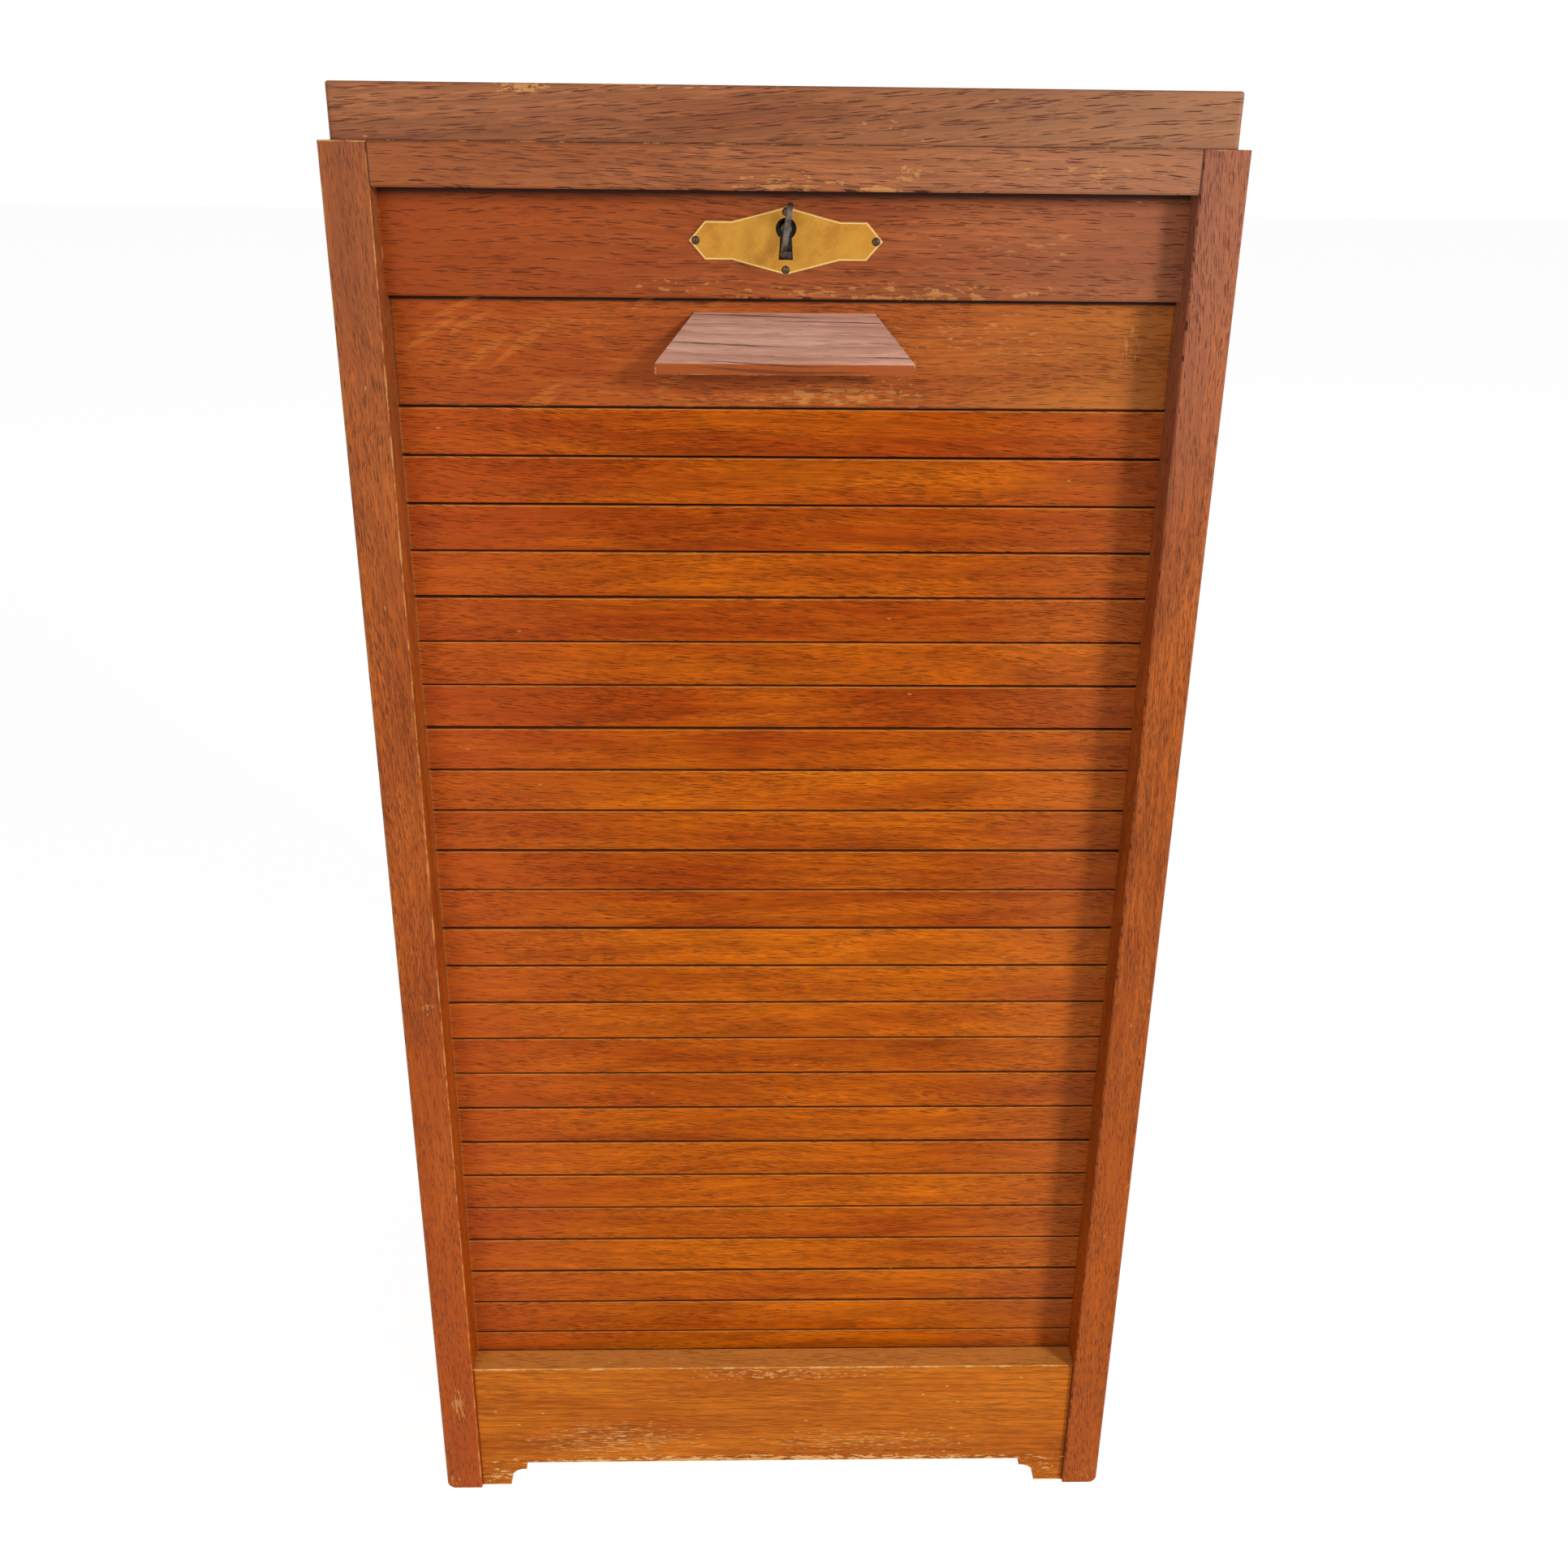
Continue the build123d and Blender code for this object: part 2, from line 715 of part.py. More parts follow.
# Pull: a sloping board with a lip, wider at the front than at the back
handle_front_y = lead_front_y - handle_reach
handle_lip_z = handle_top_z - handle_drop - handle_lip
handle_under_z = handle_lip_z + (handle_reach - handle_lip_depth) * handle_drop / handle_reach
with BuildPart() as handle:
    with BuildSketch(Plane.YZ):
        Polygon(
            (lead_front_y, handle_top_z),
            (handle_front_y, handle_top_z - handle_drop),
            (handle_front_y, handle_lip_z),
            (handle_front_y + handle_lip_depth, handle_lip_z),
            (lead_front_y, handle_under_z),
            align=None,
        )
    extrude(amount=handle_front_width / 2, both=True)
    with BuildSketch(Plane.XY.offset(handle_lip_z)):
        Polygon(
            (-handle_back_width / 2, lead_front_y),
            (-handle_front_width / 2, handle_front_y),
            (handle_front_width / 2, handle_front_y),
            (handle_back_width / 2, lead_front_y),
            align=None,
        )
    extrude(amount=handle_top_z - handle_lip_z, mode=Mode.INTERSECT)
    fillet(handle.faces().sort_by(Axis.Y)[0].edges(), handle_arris)
    add(handle_screws.part, mode=Mode.SUBTRACT)
write(handle.part, "handle")

# Slats of the curtain, rounded along their front edges
with BuildPart() as tambour_slats:
    with BuildSketch(Plane.YZ.offset(-slat_length / 2)) as slat_profiles:
        for index in range(slat_count):
            with Locations((slat_front_y, lead_bottom_z - slat_gap - index * slat_pitch)):
                Rectangle(slat_thickness, slat_height, align=(Align.MIN, Align.MAX))
        fillet(slat_profiles.vertices().group_by(Axis.X)[0], slat_edge_radius)
    extrude(amount=slat_length)
write(tambour_slats.part, "tambour_slats")

# Canvas that the slats are glued to
with BuildPart(Plane(origin=(0, slat_back_y, curtain_end_z))) as tambour_canvas:
    Box(
        2 * (inner_x - canvas_margin),
        canvas_thickness,
        lead_bottom_z + canvas_lap - slide_clearance - curtain_end_z,
        align=(Align.CENTER, Align.MIN, Align.MIN),
    )
write(tambour_canvas.part, "tambour_canvas")
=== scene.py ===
"""Looks of an oak tambour filing cabinet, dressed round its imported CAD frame.

The CAD nodes give every place and size. This script gives the boards their oak,
models the curtain of slats, its canvas, the wooden pull and the pins of the brass
plate, and sets up a plain studio with the photograph's camera.
"""

import logging
import math
import random
from dataclasses import dataclass, replace
from enum import Enum, IntEnum
from typing import Callable, Sequence

import bpy
from mathutils import Matrix, Vector


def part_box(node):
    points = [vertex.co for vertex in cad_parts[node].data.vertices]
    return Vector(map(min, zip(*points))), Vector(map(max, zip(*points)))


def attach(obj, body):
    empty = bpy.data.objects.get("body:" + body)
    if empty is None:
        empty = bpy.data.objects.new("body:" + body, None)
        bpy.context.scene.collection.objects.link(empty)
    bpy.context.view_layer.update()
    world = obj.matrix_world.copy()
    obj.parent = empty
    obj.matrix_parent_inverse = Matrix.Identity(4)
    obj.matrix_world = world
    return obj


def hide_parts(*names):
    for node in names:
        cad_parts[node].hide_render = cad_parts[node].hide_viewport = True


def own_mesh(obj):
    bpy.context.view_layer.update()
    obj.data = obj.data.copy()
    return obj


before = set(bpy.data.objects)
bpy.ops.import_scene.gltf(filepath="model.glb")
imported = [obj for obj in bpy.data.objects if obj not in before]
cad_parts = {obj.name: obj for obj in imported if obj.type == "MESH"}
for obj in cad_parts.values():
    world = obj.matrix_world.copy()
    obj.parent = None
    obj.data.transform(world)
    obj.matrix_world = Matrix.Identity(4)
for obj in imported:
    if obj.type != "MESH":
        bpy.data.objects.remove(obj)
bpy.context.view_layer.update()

LOG = logging.getLogger("cabinet")
MM = 0.001
PLACE = "board_place"
SEED = "board_seed"
TONE = "board_tone"

# Sockets of a Mix node that mixes colours: its factor, its two colours and its result
SHARE, UNDER, OVER, MIXED = 0, 6, 7, 2

Tree = bpy.types.NodeTree
Socket = bpy.types.NodeSocket
Material = bpy.types.Material
Piece = bpy.types.Object
Pair = tuple[float, float]
Point = tuple[float, float, float]
Edges = tuple[tuple[Vector, float], ...]


def linear(code: str) -> tuple[float, float, float, float]:
    """Turns an sRGB hex value into a linear colour.

    Args:
        code: Hex value such as "#a2501a".

    Returns:
        Red, green, blue and alpha, linear.
    """
    shares = [int(code[i : i + 2], 16) / 255 for i in (1, 3, 5)]
    red, green, blue = (
        s / 12.92 if s <= 0.04045 else ((s + 0.055) / 1.055) ** 2.4 for s in shares
    )
    return (red, green, blue, 1.0)


def add_node(
    tree: Tree, kind: str, inputs: Sequence | dict = (), out: int | str = 0, **settings: object
) -> Socket | None:
    """Adds a node with its settings and links.

    Args:
        tree: Node tree that takes the node.
        kind: Blender's name of the node type, without its prefix.
        inputs: Values or feeding sockets, in the order of the node's inputs or by their names.
        out: Output that is handed back.
        **settings: Values of the node's own properties.

    Returns:
        The output socket, or None where the node has no output.
    """
    node = tree.nodes.new(f"ShaderNode{kind}")
    for name, value in settings.items():
        setattr(node, name, value)
    pairs = inputs.items() if isinstance(inputs, dict) else enumerate(inputs)
    for key, value in pairs:
        if isinstance(value, Socket):
            tree.links.new(value, node.inputs[key])
        else:
            node.inputs[key].default_value = value
    return node.outputs[out] if len(node.outputs) else None


def new_tree(name: str) -> tuple[Material, Tree]:
    """Makes an empty node material.

    Args:
        name: Name of the finish.

    Returns:
        The material and its node tree.
    """
    material = bpy.data.materials.new(name)
    material.use_nodes = True
    material.node_tree.nodes.clear()
    return material, material.node_tree


class Axis(IntEnum):
    """Axis of the cabinet: to the right, to the back and up."""

    X = 0
    Y = 1
    Z = 2


class Grain(Enum):
    """Way of a board's grain: the axes along, across and through the board."""

    ACROSS = (Axis.X, Axis.Z, Axis.Y)
    DEEP = (Axis.Y, Axis.Z, Axis.X)
    UPRIGHT = (Axis.Z, Axis.X, Axis.Y)


@dataclass(frozen=True)
class Tint:
    """A colour that fades out along one axis of a board, in mm from its middle; some tints are
    painted shade, sheen or highlight.
    """

    colour: str
    axis: Axis
    start: float
    end: float
    amount: float


@dataclass(frozen=True)
class Patch:
    """A place where the varnish has flaked off, in mm from the board's middle.

    The cover is the share of bare wood at its middle, the fade how bare that wood is,
    and the flake the size of one chip along and across the grain.
    """

    centre: Point
    reach: Point
    cover: float
    fade: float
    flake: Pair


@dataclass(frozen=True)
class OakHabit:
    """What all the oak has in common, however a board is stained.

    A pair named for a mark is its length along and its width across the grain, in mm, or
    those of the cell that holds it. A reach is half of a mark as a share of its cell, a
    core the part of it that is full, a span the part of a noise that counts, and a bare
    value how much of the varnish is gone. Turns are in radians.
    """

    wave: Pair = (170.0, 60.0)
    fold: float = 0.8
    early_wood: Pair = (0.05, 0.6)
    late_wood: Pair = (0.35, 0.98)
    late_shade: Pair = (1.06, 0.84)
    fibre: Pair = (26.0, 0.9)
    fibre_span: Pair = (0.25, 0.75)
    cloud: Pair = (150.0, 22.0)
    cloud_span: Pair = (0.3, 0.7)
    crowd: Pair = (95.0, 24.0)
    crowd_span: Pair = (0.35, 0.65)
    crowd_share: Pair = (0.35, 1.2)
    fray: Pair = (7.0, 1.6)
    fray_shift: Point = (9.0, 0.9, 0.0)
    row_turn: float = 0.64
    dash_core: float = 0.5
    pore_reach: float = 0.3
    fine_pore_size: float = 0.55
    fine_pore_depth: float = 0.7
    crack: Pair = (170.0, 2.8)
    crack_share: float = 0.4
    crack_reach: float = 0.26
    ray: Pair = (62.0, 8.0)
    ray_turn: float = math.radians(-31)
    ray_share: float = 0.42
    ray_reach: float = 0.34
    ray_colour: str = "#cf7c30"
    nick: Pair = (34.0, 13.0)
    nick_reach: float = 0.05
    nick_bare: float = 0.7
    scratch: Pair = (70.0, 3.0)
    scratch_turns: Pair = (math.radians(64), math.radians(-38))
    scratch_reach: float = 0.12
    scratch_bare: float = 0.55
    arris_core: float = 0.3
    arris_bare: float = 0.8
    grit: float = 11.0
    grit_weight: float = 2.4
    rub_start: float = 2.45
    rub_gain: float = 0.8
    rub_blur: float = 0.2
    flake_start: float = 0.62
    flake_gain: float = 0.25
    flake_blur: float = 0.035
    flake_fall: float = 0.15
    fibre_matt: float = 0.2
    worn_matt: float = 0.22
    fibre_height: float = 0.3
    worn_depth: float = 0.35
    relief: float = 0.6


OAK = OakHabit()


@dataclass(frozen=True)
class OakFinish:
    """Varnished oak, planed and stained.

    Oak is ring-porous, so dark open pores lie in short dashes along the grain and
    gather in bands. The stain is a red brown that wears pale at the arrises, and the
    varnish is chipped where hands, feet and brooms reach it. Sizes are in mm.
    """

    name: str
    dark: str
    light: str
    grain: Grain = Grain.ACROSS
    pore: str = "#44190a"
    worn: str = "#bd8447"
    pith: Point = (0.0, 170.0, 60.0)
    run_out: Pair = (0.02, 0.03)
    sway: float = 14.0
    ring: float = 6.0
    pore_size: Pair = (24.0, 1.0)
    pore_share: Pair = (0.25, 0.8)
    pore_depth: float = 0.9
    edge_wear: float = 0.2
    edge_reach: float = 1.2
    nick_share: float = 0.06
    scratch_share: float = 0.0008
    roughness: float = 0.38
    shine: float = 0.22
    streak: float = 0.4
    bump: float = 0.5
    tints: tuple[Tint, ...] = ()
    patches: tuple[Patch, ...] = ()
    cracks: float = 0.0
    rays: float = 0.0
    ray_fade: Pair = (-70.0, 10.0)

    def build(self, low: Vector, high: Vector, own_place: bool = False) -> Material:
        """Makes the material for one board.

        Args:
            low: Lowest corner of the board, in metres.
            high: Highest corner of the board, in metres.
            own_place: True if the mesh carries its place, seed and tone itself.

        Returns:
            The finished material.
        """
        material, tree = new_tree(self.name)
        half = (high - low) / 2 / MM
        seed, tone = self.pith, 0.0
        if own_place:
            place, seed = (
                add_node(tree, "Attribute", out="Vector", attribute_name=name)
                for name in (PLACE, SEED)
            )
            tone = add_node(tree, "Attribute", out="Fac", attribute_name=TONE)
        else:
            whole = add_node(tree, "TexCoord", out="Object")
            middle = (high + low) / 2
            place = add_node(tree, "VectorMath", (whole, middle), operation="SUBTRACT")
        spot = add_node(tree, "VectorMath", {0: place, "Scale": 1 / MM}, operation="SCALE")
        axes = add_node(tree, "SeparateXYZ", (spot,)).node.outputs
        local = add_node(tree, "CombineXYZ", [axes[i] for i in self.grain.value])
        sawn = add_node(tree, "VectorMath", (local, seed), operation="ADD")
        grown = self._growth(tree, axes[self.grain.value[0]], sawn)
        face = self._unfold(tree, grown)
        early, late = self._rings(tree, grown)
        fibre = self._streaks(tree, grown, OAK.fibre, 4.0)
        deep = self._pores(tree, face, sawn, early)
        colour = self._stain(tree, sawn, axes, fibre, late, tone)
        worn = self._wear(tree, spot, sawn, half)
        masks = [(deep, self.pore), (worn, self.worn)]
        if self.rays:
            turned = add_node(tree, "Mapping", {0: face, "Rotation": (0, 0, OAK.ray_turn)})
            fleck = self._dashes(tree, turned, OAK.ray, OAK.ray_share, OAK.ray_reach)
            strong = add_node(tree, "MapRange", (axes[0], *self.ray_fade, self.rays, 0.0))
            shown = add_node(tree, "Math", (fleck, strong), operation="MULTIPLY")
            masks.insert(0, (shown, OAK.ray_colour))
        for mask, code in masks:
            tones = {SHARE: mask, UNDER: colour, OVER: linear(code)}
            colour = add_node(tree, "Mix", tones, out=MIXED, data_type="RGBA")
        self._surface(tree, colour, deep, fibre, worn)
        return material

    def _growth(self, tree: Tree, along: Socket, sawn: Socket) -> Socket:
        """Bends the grain a little and lets it run out of the board's face.

        Args:
            tree: Node tree of the material.
            along: Distance along the grain.
            sawn: Place in the tree.

        Returns:
            The place along, across and through the grain.
        """
        length, width = OAK.wave
        scale = (1 / length, 1 / width, 1 / width)
        wide = add_node(tree, "VectorMath", (sawn, scale), operation="MULTIPLY")
        wave = add_node(tree, "TexNoise", {"Vector": wide, "Scale": 1.0, "Detail": 1.0}, out=1)
        reach = (0.0, self.sway, self.sway)
        bent = add_node(tree, "VectorMath", (wave, reach, sawn), operation="MULTIPLY_ADD")
        rise = add_node(tree, "CombineXYZ", {1: along, 2: along})
        slope = (0.0, *self.run_out)
        return add_node(tree, "VectorMath", (rise, slope, bent), operation="MULTIPLY_ADD")

    @staticmethod
    def _unfold(tree: Tree, place: Socket) -> Socket:
        """Lays a board's faces side by side in one plane.

        Args:
            tree: Node tree of the material.
            place: Place along, across and through the grain.

        Returns:
            The place along the grain and round the board.
        """
        axes = add_node(tree, "SeparateXYZ", (place,)).node.outputs
        round_about = add_node(tree, "Math", (axes[2], OAK.fold, axes[1]), operation="MULTIPLY_ADD")
        return add_node(tree, "CombineXYZ", (axes[0], round_about))

    @staticmethod
    def _streaks(
        tree: Tree, place: Socket, size: Pair, detail: float, out: int = 0
    ) -> Socket:
        """Draws a noise that is stretched along the grain.

        Args:
            tree: Node tree of the material.
            place: Place along, across and through the grain.
            size: Length and width of a streak.
            detail: How many finer noises are added.
            out: 0 for a single value, 1 for three of them.

        Returns:
            The noise, about 0.5 on average.
        """
        length, width = size
        scale = (1 / length, 1 / width, 1 / width)
        tight = add_node(tree, "VectorMath", (place, scale), operation="MULTIPLY")
        look = {"Vector": tight, "Scale": 1.0, "Detail": detail, "Roughness": 0.6}
        return add_node(tree, "TexNoise", look, out=out)

    @staticmethod
    def _dashes(
        tree: Tree, face: Socket, cell: Pair, chance: Socket | float, reach: float
    ) -> Socket:
        """Strews short dashes, at most one to a cell, in rows that slant along the grain.

        Args:
            tree: Node tree of the material.
            face: Place on the unfolded board.
            cell: Length and width of a cell.
            chance: Share of the cells that hold a dash.
            reach: Half of a dash, as a share of its cell.

        Returns:
            The mask of the dashes.
        """
        scale = (1 / cell[0], 1 / cell[1], 0)
        rows = {0: face, "Rotation": (0, 0, OAK.row_turn), "Scale": scale}
        look = {"Vector": add_node(tree, "Mapping", rows), "Scale": 1.0}
        cells = add_node(tree, "TexVoronoi", look, voronoi_dimensions="2D").node.outputs
        lot = add_node(tree, "SeparateXYZ", (cells["Color"],))
        held = add_node(tree, "Math", (lot, chance), operation="LESS_THAN")
        span = (cells["Distance"], reach * OAK.dash_core, reach, 1.0, 0.0)
        dash = add_node(tree, "MapRange", span, interpolation_type="SMOOTHSTEP")
        return add_node(tree, "Math", (dash, held), operation="MULTIPLY")

    def _rings(self, tree: Tree, grown: Socket) -> tuple[Socket, Socket]:
        """Draws the year rings.

        Args:
            tree: Node tree of the material.
            grown: Place along, across and through the grain.

        Returns:
            Masks of the early and the late wood.
        """
        flat = add_node(tree, "VectorMath", (grown, (0, 1, 1)), operation="MULTIPLY")
        radius = add_node(tree, "VectorMath", (flat,), out="Value", operation="LENGTH")
        years = add_node(tree, "Math", (radius, self.ring), operation="DIVIDE")
        year = add_node(tree, "Math", (years,), operation="FRACT")
        early, late = (
            add_node(tree, "MapRange", (year, *span), interpolation_type="SMOOTHSTEP")
            for span in ((*OAK.early_wood, 1.0, 0.0), (*OAK.late_wood, 0.0, 1.0))
        )
        return early, late

    def _pores(self, tree: Tree, face: Socket, sawn: Socket, early: Socket) -> Socket:
        """Opens coarse and fine pores, most of them in the early wood, and cracks.

        Args:
            tree: Node tree of the material.
            face: Place on the unfolded board.
            sawn: Place in the tree.
            early: Mask of the early wood.

        Returns:
            The mask of what lies below the surface.
        """
        crowd = self._streaks(tree, sawn, OAK.crowd, 1.0)
        crowded = add_node(tree, "MapRange", (crowd, *OAK.crowd_span, *OAK.crowd_share))
        share = add_node(tree, "MapRange", (early, 0.0, 1.0, *self.pore_share))
        share = add_node(tree, "Math", (share, crowded), operation="MULTIPLY")
        fray = self._streaks(tree, face, OAK.fray, 1.0, out=1)
        shifted = (fray, OAK.fray_shift, face)
        ragged = add_node(tree, "VectorMath", shifted, operation="MULTIPLY_ADD")
        deep = 0.0
        for size, depth in ((1.0, 1.0), (OAK.fine_pore_size, OAK.fine_pore_depth)):
            cell = (self.pore_size[0] * size, self.pore_size[1] * size)
            dash = self._dashes(tree, ragged, cell, share, OAK.pore_reach)
            pores = add_node(tree, "Math", (dash, self.pore_depth * depth), operation="MULTIPLY")
            deep = add_node(tree, "Math", (deep, pores), operation="MAXIMUM")
        if self.cracks:
            chance = OAK.crack_share * self.cracks
            split = self._dashes(tree, ragged, OAK.crack, chance, OAK.crack_reach)
            line = add_node(tree, "Math", (split, self.cracks), operation="MULTIPLY")
            deep = add_node(tree, "Math", (deep, line), operation="MAXIMUM")
        return deep

    def _stain(
        self,
        tree: Tree,
        sawn: Socket,
        axes: bpy.types.bpy_prop_collection,
        fibre: Socket,
        late: Socket,
        tone: Socket | float,
    ) -> Socket:
        """Mixes the stain from its dark and light tones, then lays on the tints, some of them
        painted shade, sheen or highlight.

        Args:
            tree: Node tree of the material.
            sawn: Place in the tree.
            axes: X, Y and Z from the board's middle.
            fibre: Noise of the fibres.
            late: Late wood mask.
            tone: How much lighter the board is than its neighbours.

        Returns:
            The stain's colour.
        """
        cloud = self._streaks(tree, sawn, OAK.cloud, 4.0)
        cloud = add_node(tree, "Math", (cloud, tone), operation="ADD")
        share = add_node(tree, "MapRange", (cloud, *OAK.cloud_span))
        tones = {SHARE: share, UNDER: linear(self.dark), OVER: linear(self.light)}
        colour = add_node(tree, "Mix", tones, out=MIXED, data_type="RGBA")
        fine = (fibre, *OAK.fibre_span, 1.0 - self.streak, 1.0 + self.streak)
        for span in (fine, (late, 0.0, 1.0, *OAK.late_shade)):
            value = add_node(tree, "MapRange", span)
            colour = add_node(tree, "VectorMath", {0: colour, "Scale": value}, operation="SCALE")
        for tint in self.tints:
            span = (axes[tint.axis], tint.start, tint.end, tint.amount, 0.0)
            fade = add_node(tree, "MapRange", span, interpolation_type="SMOOTHSTEP")
            tones = {SHARE: fade, UNDER: colour, OVER: linear(tint.colour)}
            colour = add_node(tree, "Mix", tones, out=MIXED, data_type="RGBA")
        return colour

    def _wear(self, tree: Tree, spot: Socket, sawn: Socket, half: Vector) -> Socket:
        """Marks where the varnish is gone: arrises, flakes, nicks and scratches.

        Args:
            tree: Node tree of the material.
            spot: Place from the board's middle.
            sawn: Place in the tree.
            half: Half of the board's sizes.

        Returns:
            The mask of bare wood.
        """
        away = add_node(tree, "VectorMath", (spot,), operation="ABSOLUTE")
        inside = add_node(tree, "VectorMath", (half, away), operation="SUBTRACT")
        near = add_node(tree, "SeparateXYZ", (inside,)).node.outputs
        less = add_node(tree, "Math", (near[0], near[1]), operation="MINIMUM")
        more = add_node(tree, "Math", (near[0], near[1]), operation="MAXIMUM")
        more = add_node(tree, "Math", (more, near[2]), operation="MINIMUM")
        edge = add_node(tree, "Math", (less, more), operation="MAXIMUM")
        reach = self.edge_reach
        arris = add_node(tree, "MapRange", (edge, reach * OAK.arris_core, reach, 1.0, 0.0))
        look = {"Vector": sawn, "Scale": 1 / OAK.grit, "Detail": 5.0, "Roughness": 0.62}
        grit = add_node(tree, "TexNoise", look)
        rub = add_node(tree, "Math", (grit, OAK.grit_weight, arris), operation="MULTIPLY_ADD")
        start = OAK.rub_start - OAK.rub_gain * self.edge_wear
        span = (rub, start, start + OAK.rub_blur, 0.0, OAK.arris_bare)
        bare = add_node(tree, "MapRange", span)
        face = self._unfold(tree, sawn)
        marks = [self._flaked(tree, spot, face, patch) for patch in self.patches]
        nick = self._dashes(tree, face, OAK.nick, self.nick_share, OAK.nick_reach)
        marks.append(add_node(tree, "Math", (nick, OAK.nick_bare), operation="MULTIPLY"))
        for turn in OAK.scratch_turns:
            turned = add_node(tree, "Mapping", {0: face, "Rotation": (0, 0, turn)})
            cut = self._dashes(tree, turned, OAK.scratch, self.scratch_share, OAK.scratch_reach)
            marks.append(add_node(tree, "Math", (cut, OAK.scratch_bare), operation="MULTIPLY"))
        for mark in marks:
            bare = add_node(tree, "Math", (bare, mark), operation="MAXIMUM")
        return bare

    def _flaked(self, tree: Tree, spot: Socket, face: Socket, patch: Patch) -> Socket:
        """Chips the varnish of one patch, less and less towards its outline.

        Args:
            tree: Node tree of the material.
            spot: Place from the board's middle.
            face: Place on the unfolded board.
            patch: Where and how much.

        Returns:
            The mask of the chips.
        """
        chips = self._streaks(tree, face, patch.flake, 4.0)
        offset = add_node(tree, "VectorMath", (spot, patch.centre), operation="SUBTRACT")
        share = add_node(tree, "VectorMath", (offset, patch.reach), operation="DIVIDE")
        far = add_node(
            tree, "VectorMath", (share, share), out="Value", operation="DOT_PRODUCT"
        )
        rest = add_node(tree, "Math", (far, -OAK.flake_fall, chips), operation="MULTIPLY_ADD")
        start = OAK.flake_start - OAK.flake_gain * patch.cover
        span = (rest, start, start + OAK.flake_blur, 0.0, patch.fade)
        return add_node(tree, "MapRange", span)

    def _surface(
        self, tree: Tree, colour: Socket, deep: Socket, fibre: Socket, worn: Socket
    ) -> None:
        """Joins colour, gloss and relief into the shader.

        Args:
            tree: Node tree of the material.
            colour: Colour of the board.
            deep: Mask of pores and cracks.
            fibre: Noise of the fibres.
            worn: Mask of bare wood.
        """
        matt = self.roughness - OAK.fibre_matt / 2
        dull = add_node(tree, "Math", (fibre, OAK.fibre_matt, matt), operation="MULTIPLY_ADD")
        gloss = add_node(tree, "Math", (worn, OAK.worn_matt, dull), operation="MULTIPLY_ADD")
        raised = add_node(tree, "Math", (fibre, OAK.fibre_height), operation="MULTIPLY")
        sunk = add_node(tree, "Math", (worn, OAK.worn_depth, deep), operation="MULTIPLY_ADD")
        relief = add_node(tree, "Math", (raised, sunk), operation="SUBTRACT")
        shape = {"Height": relief, "Strength": self.bump, "Distance": OAK.relief * MM}
        look = {
            "Base Color": colour,
            "Roughness": gloss,
            "Normal": add_node(tree, "Bump", shape),
            "Specular IOR Level": self.shine,
        }
        add_node(tree, "OutputMaterial", (add_node(tree, "BsdfPrincipled", look),))


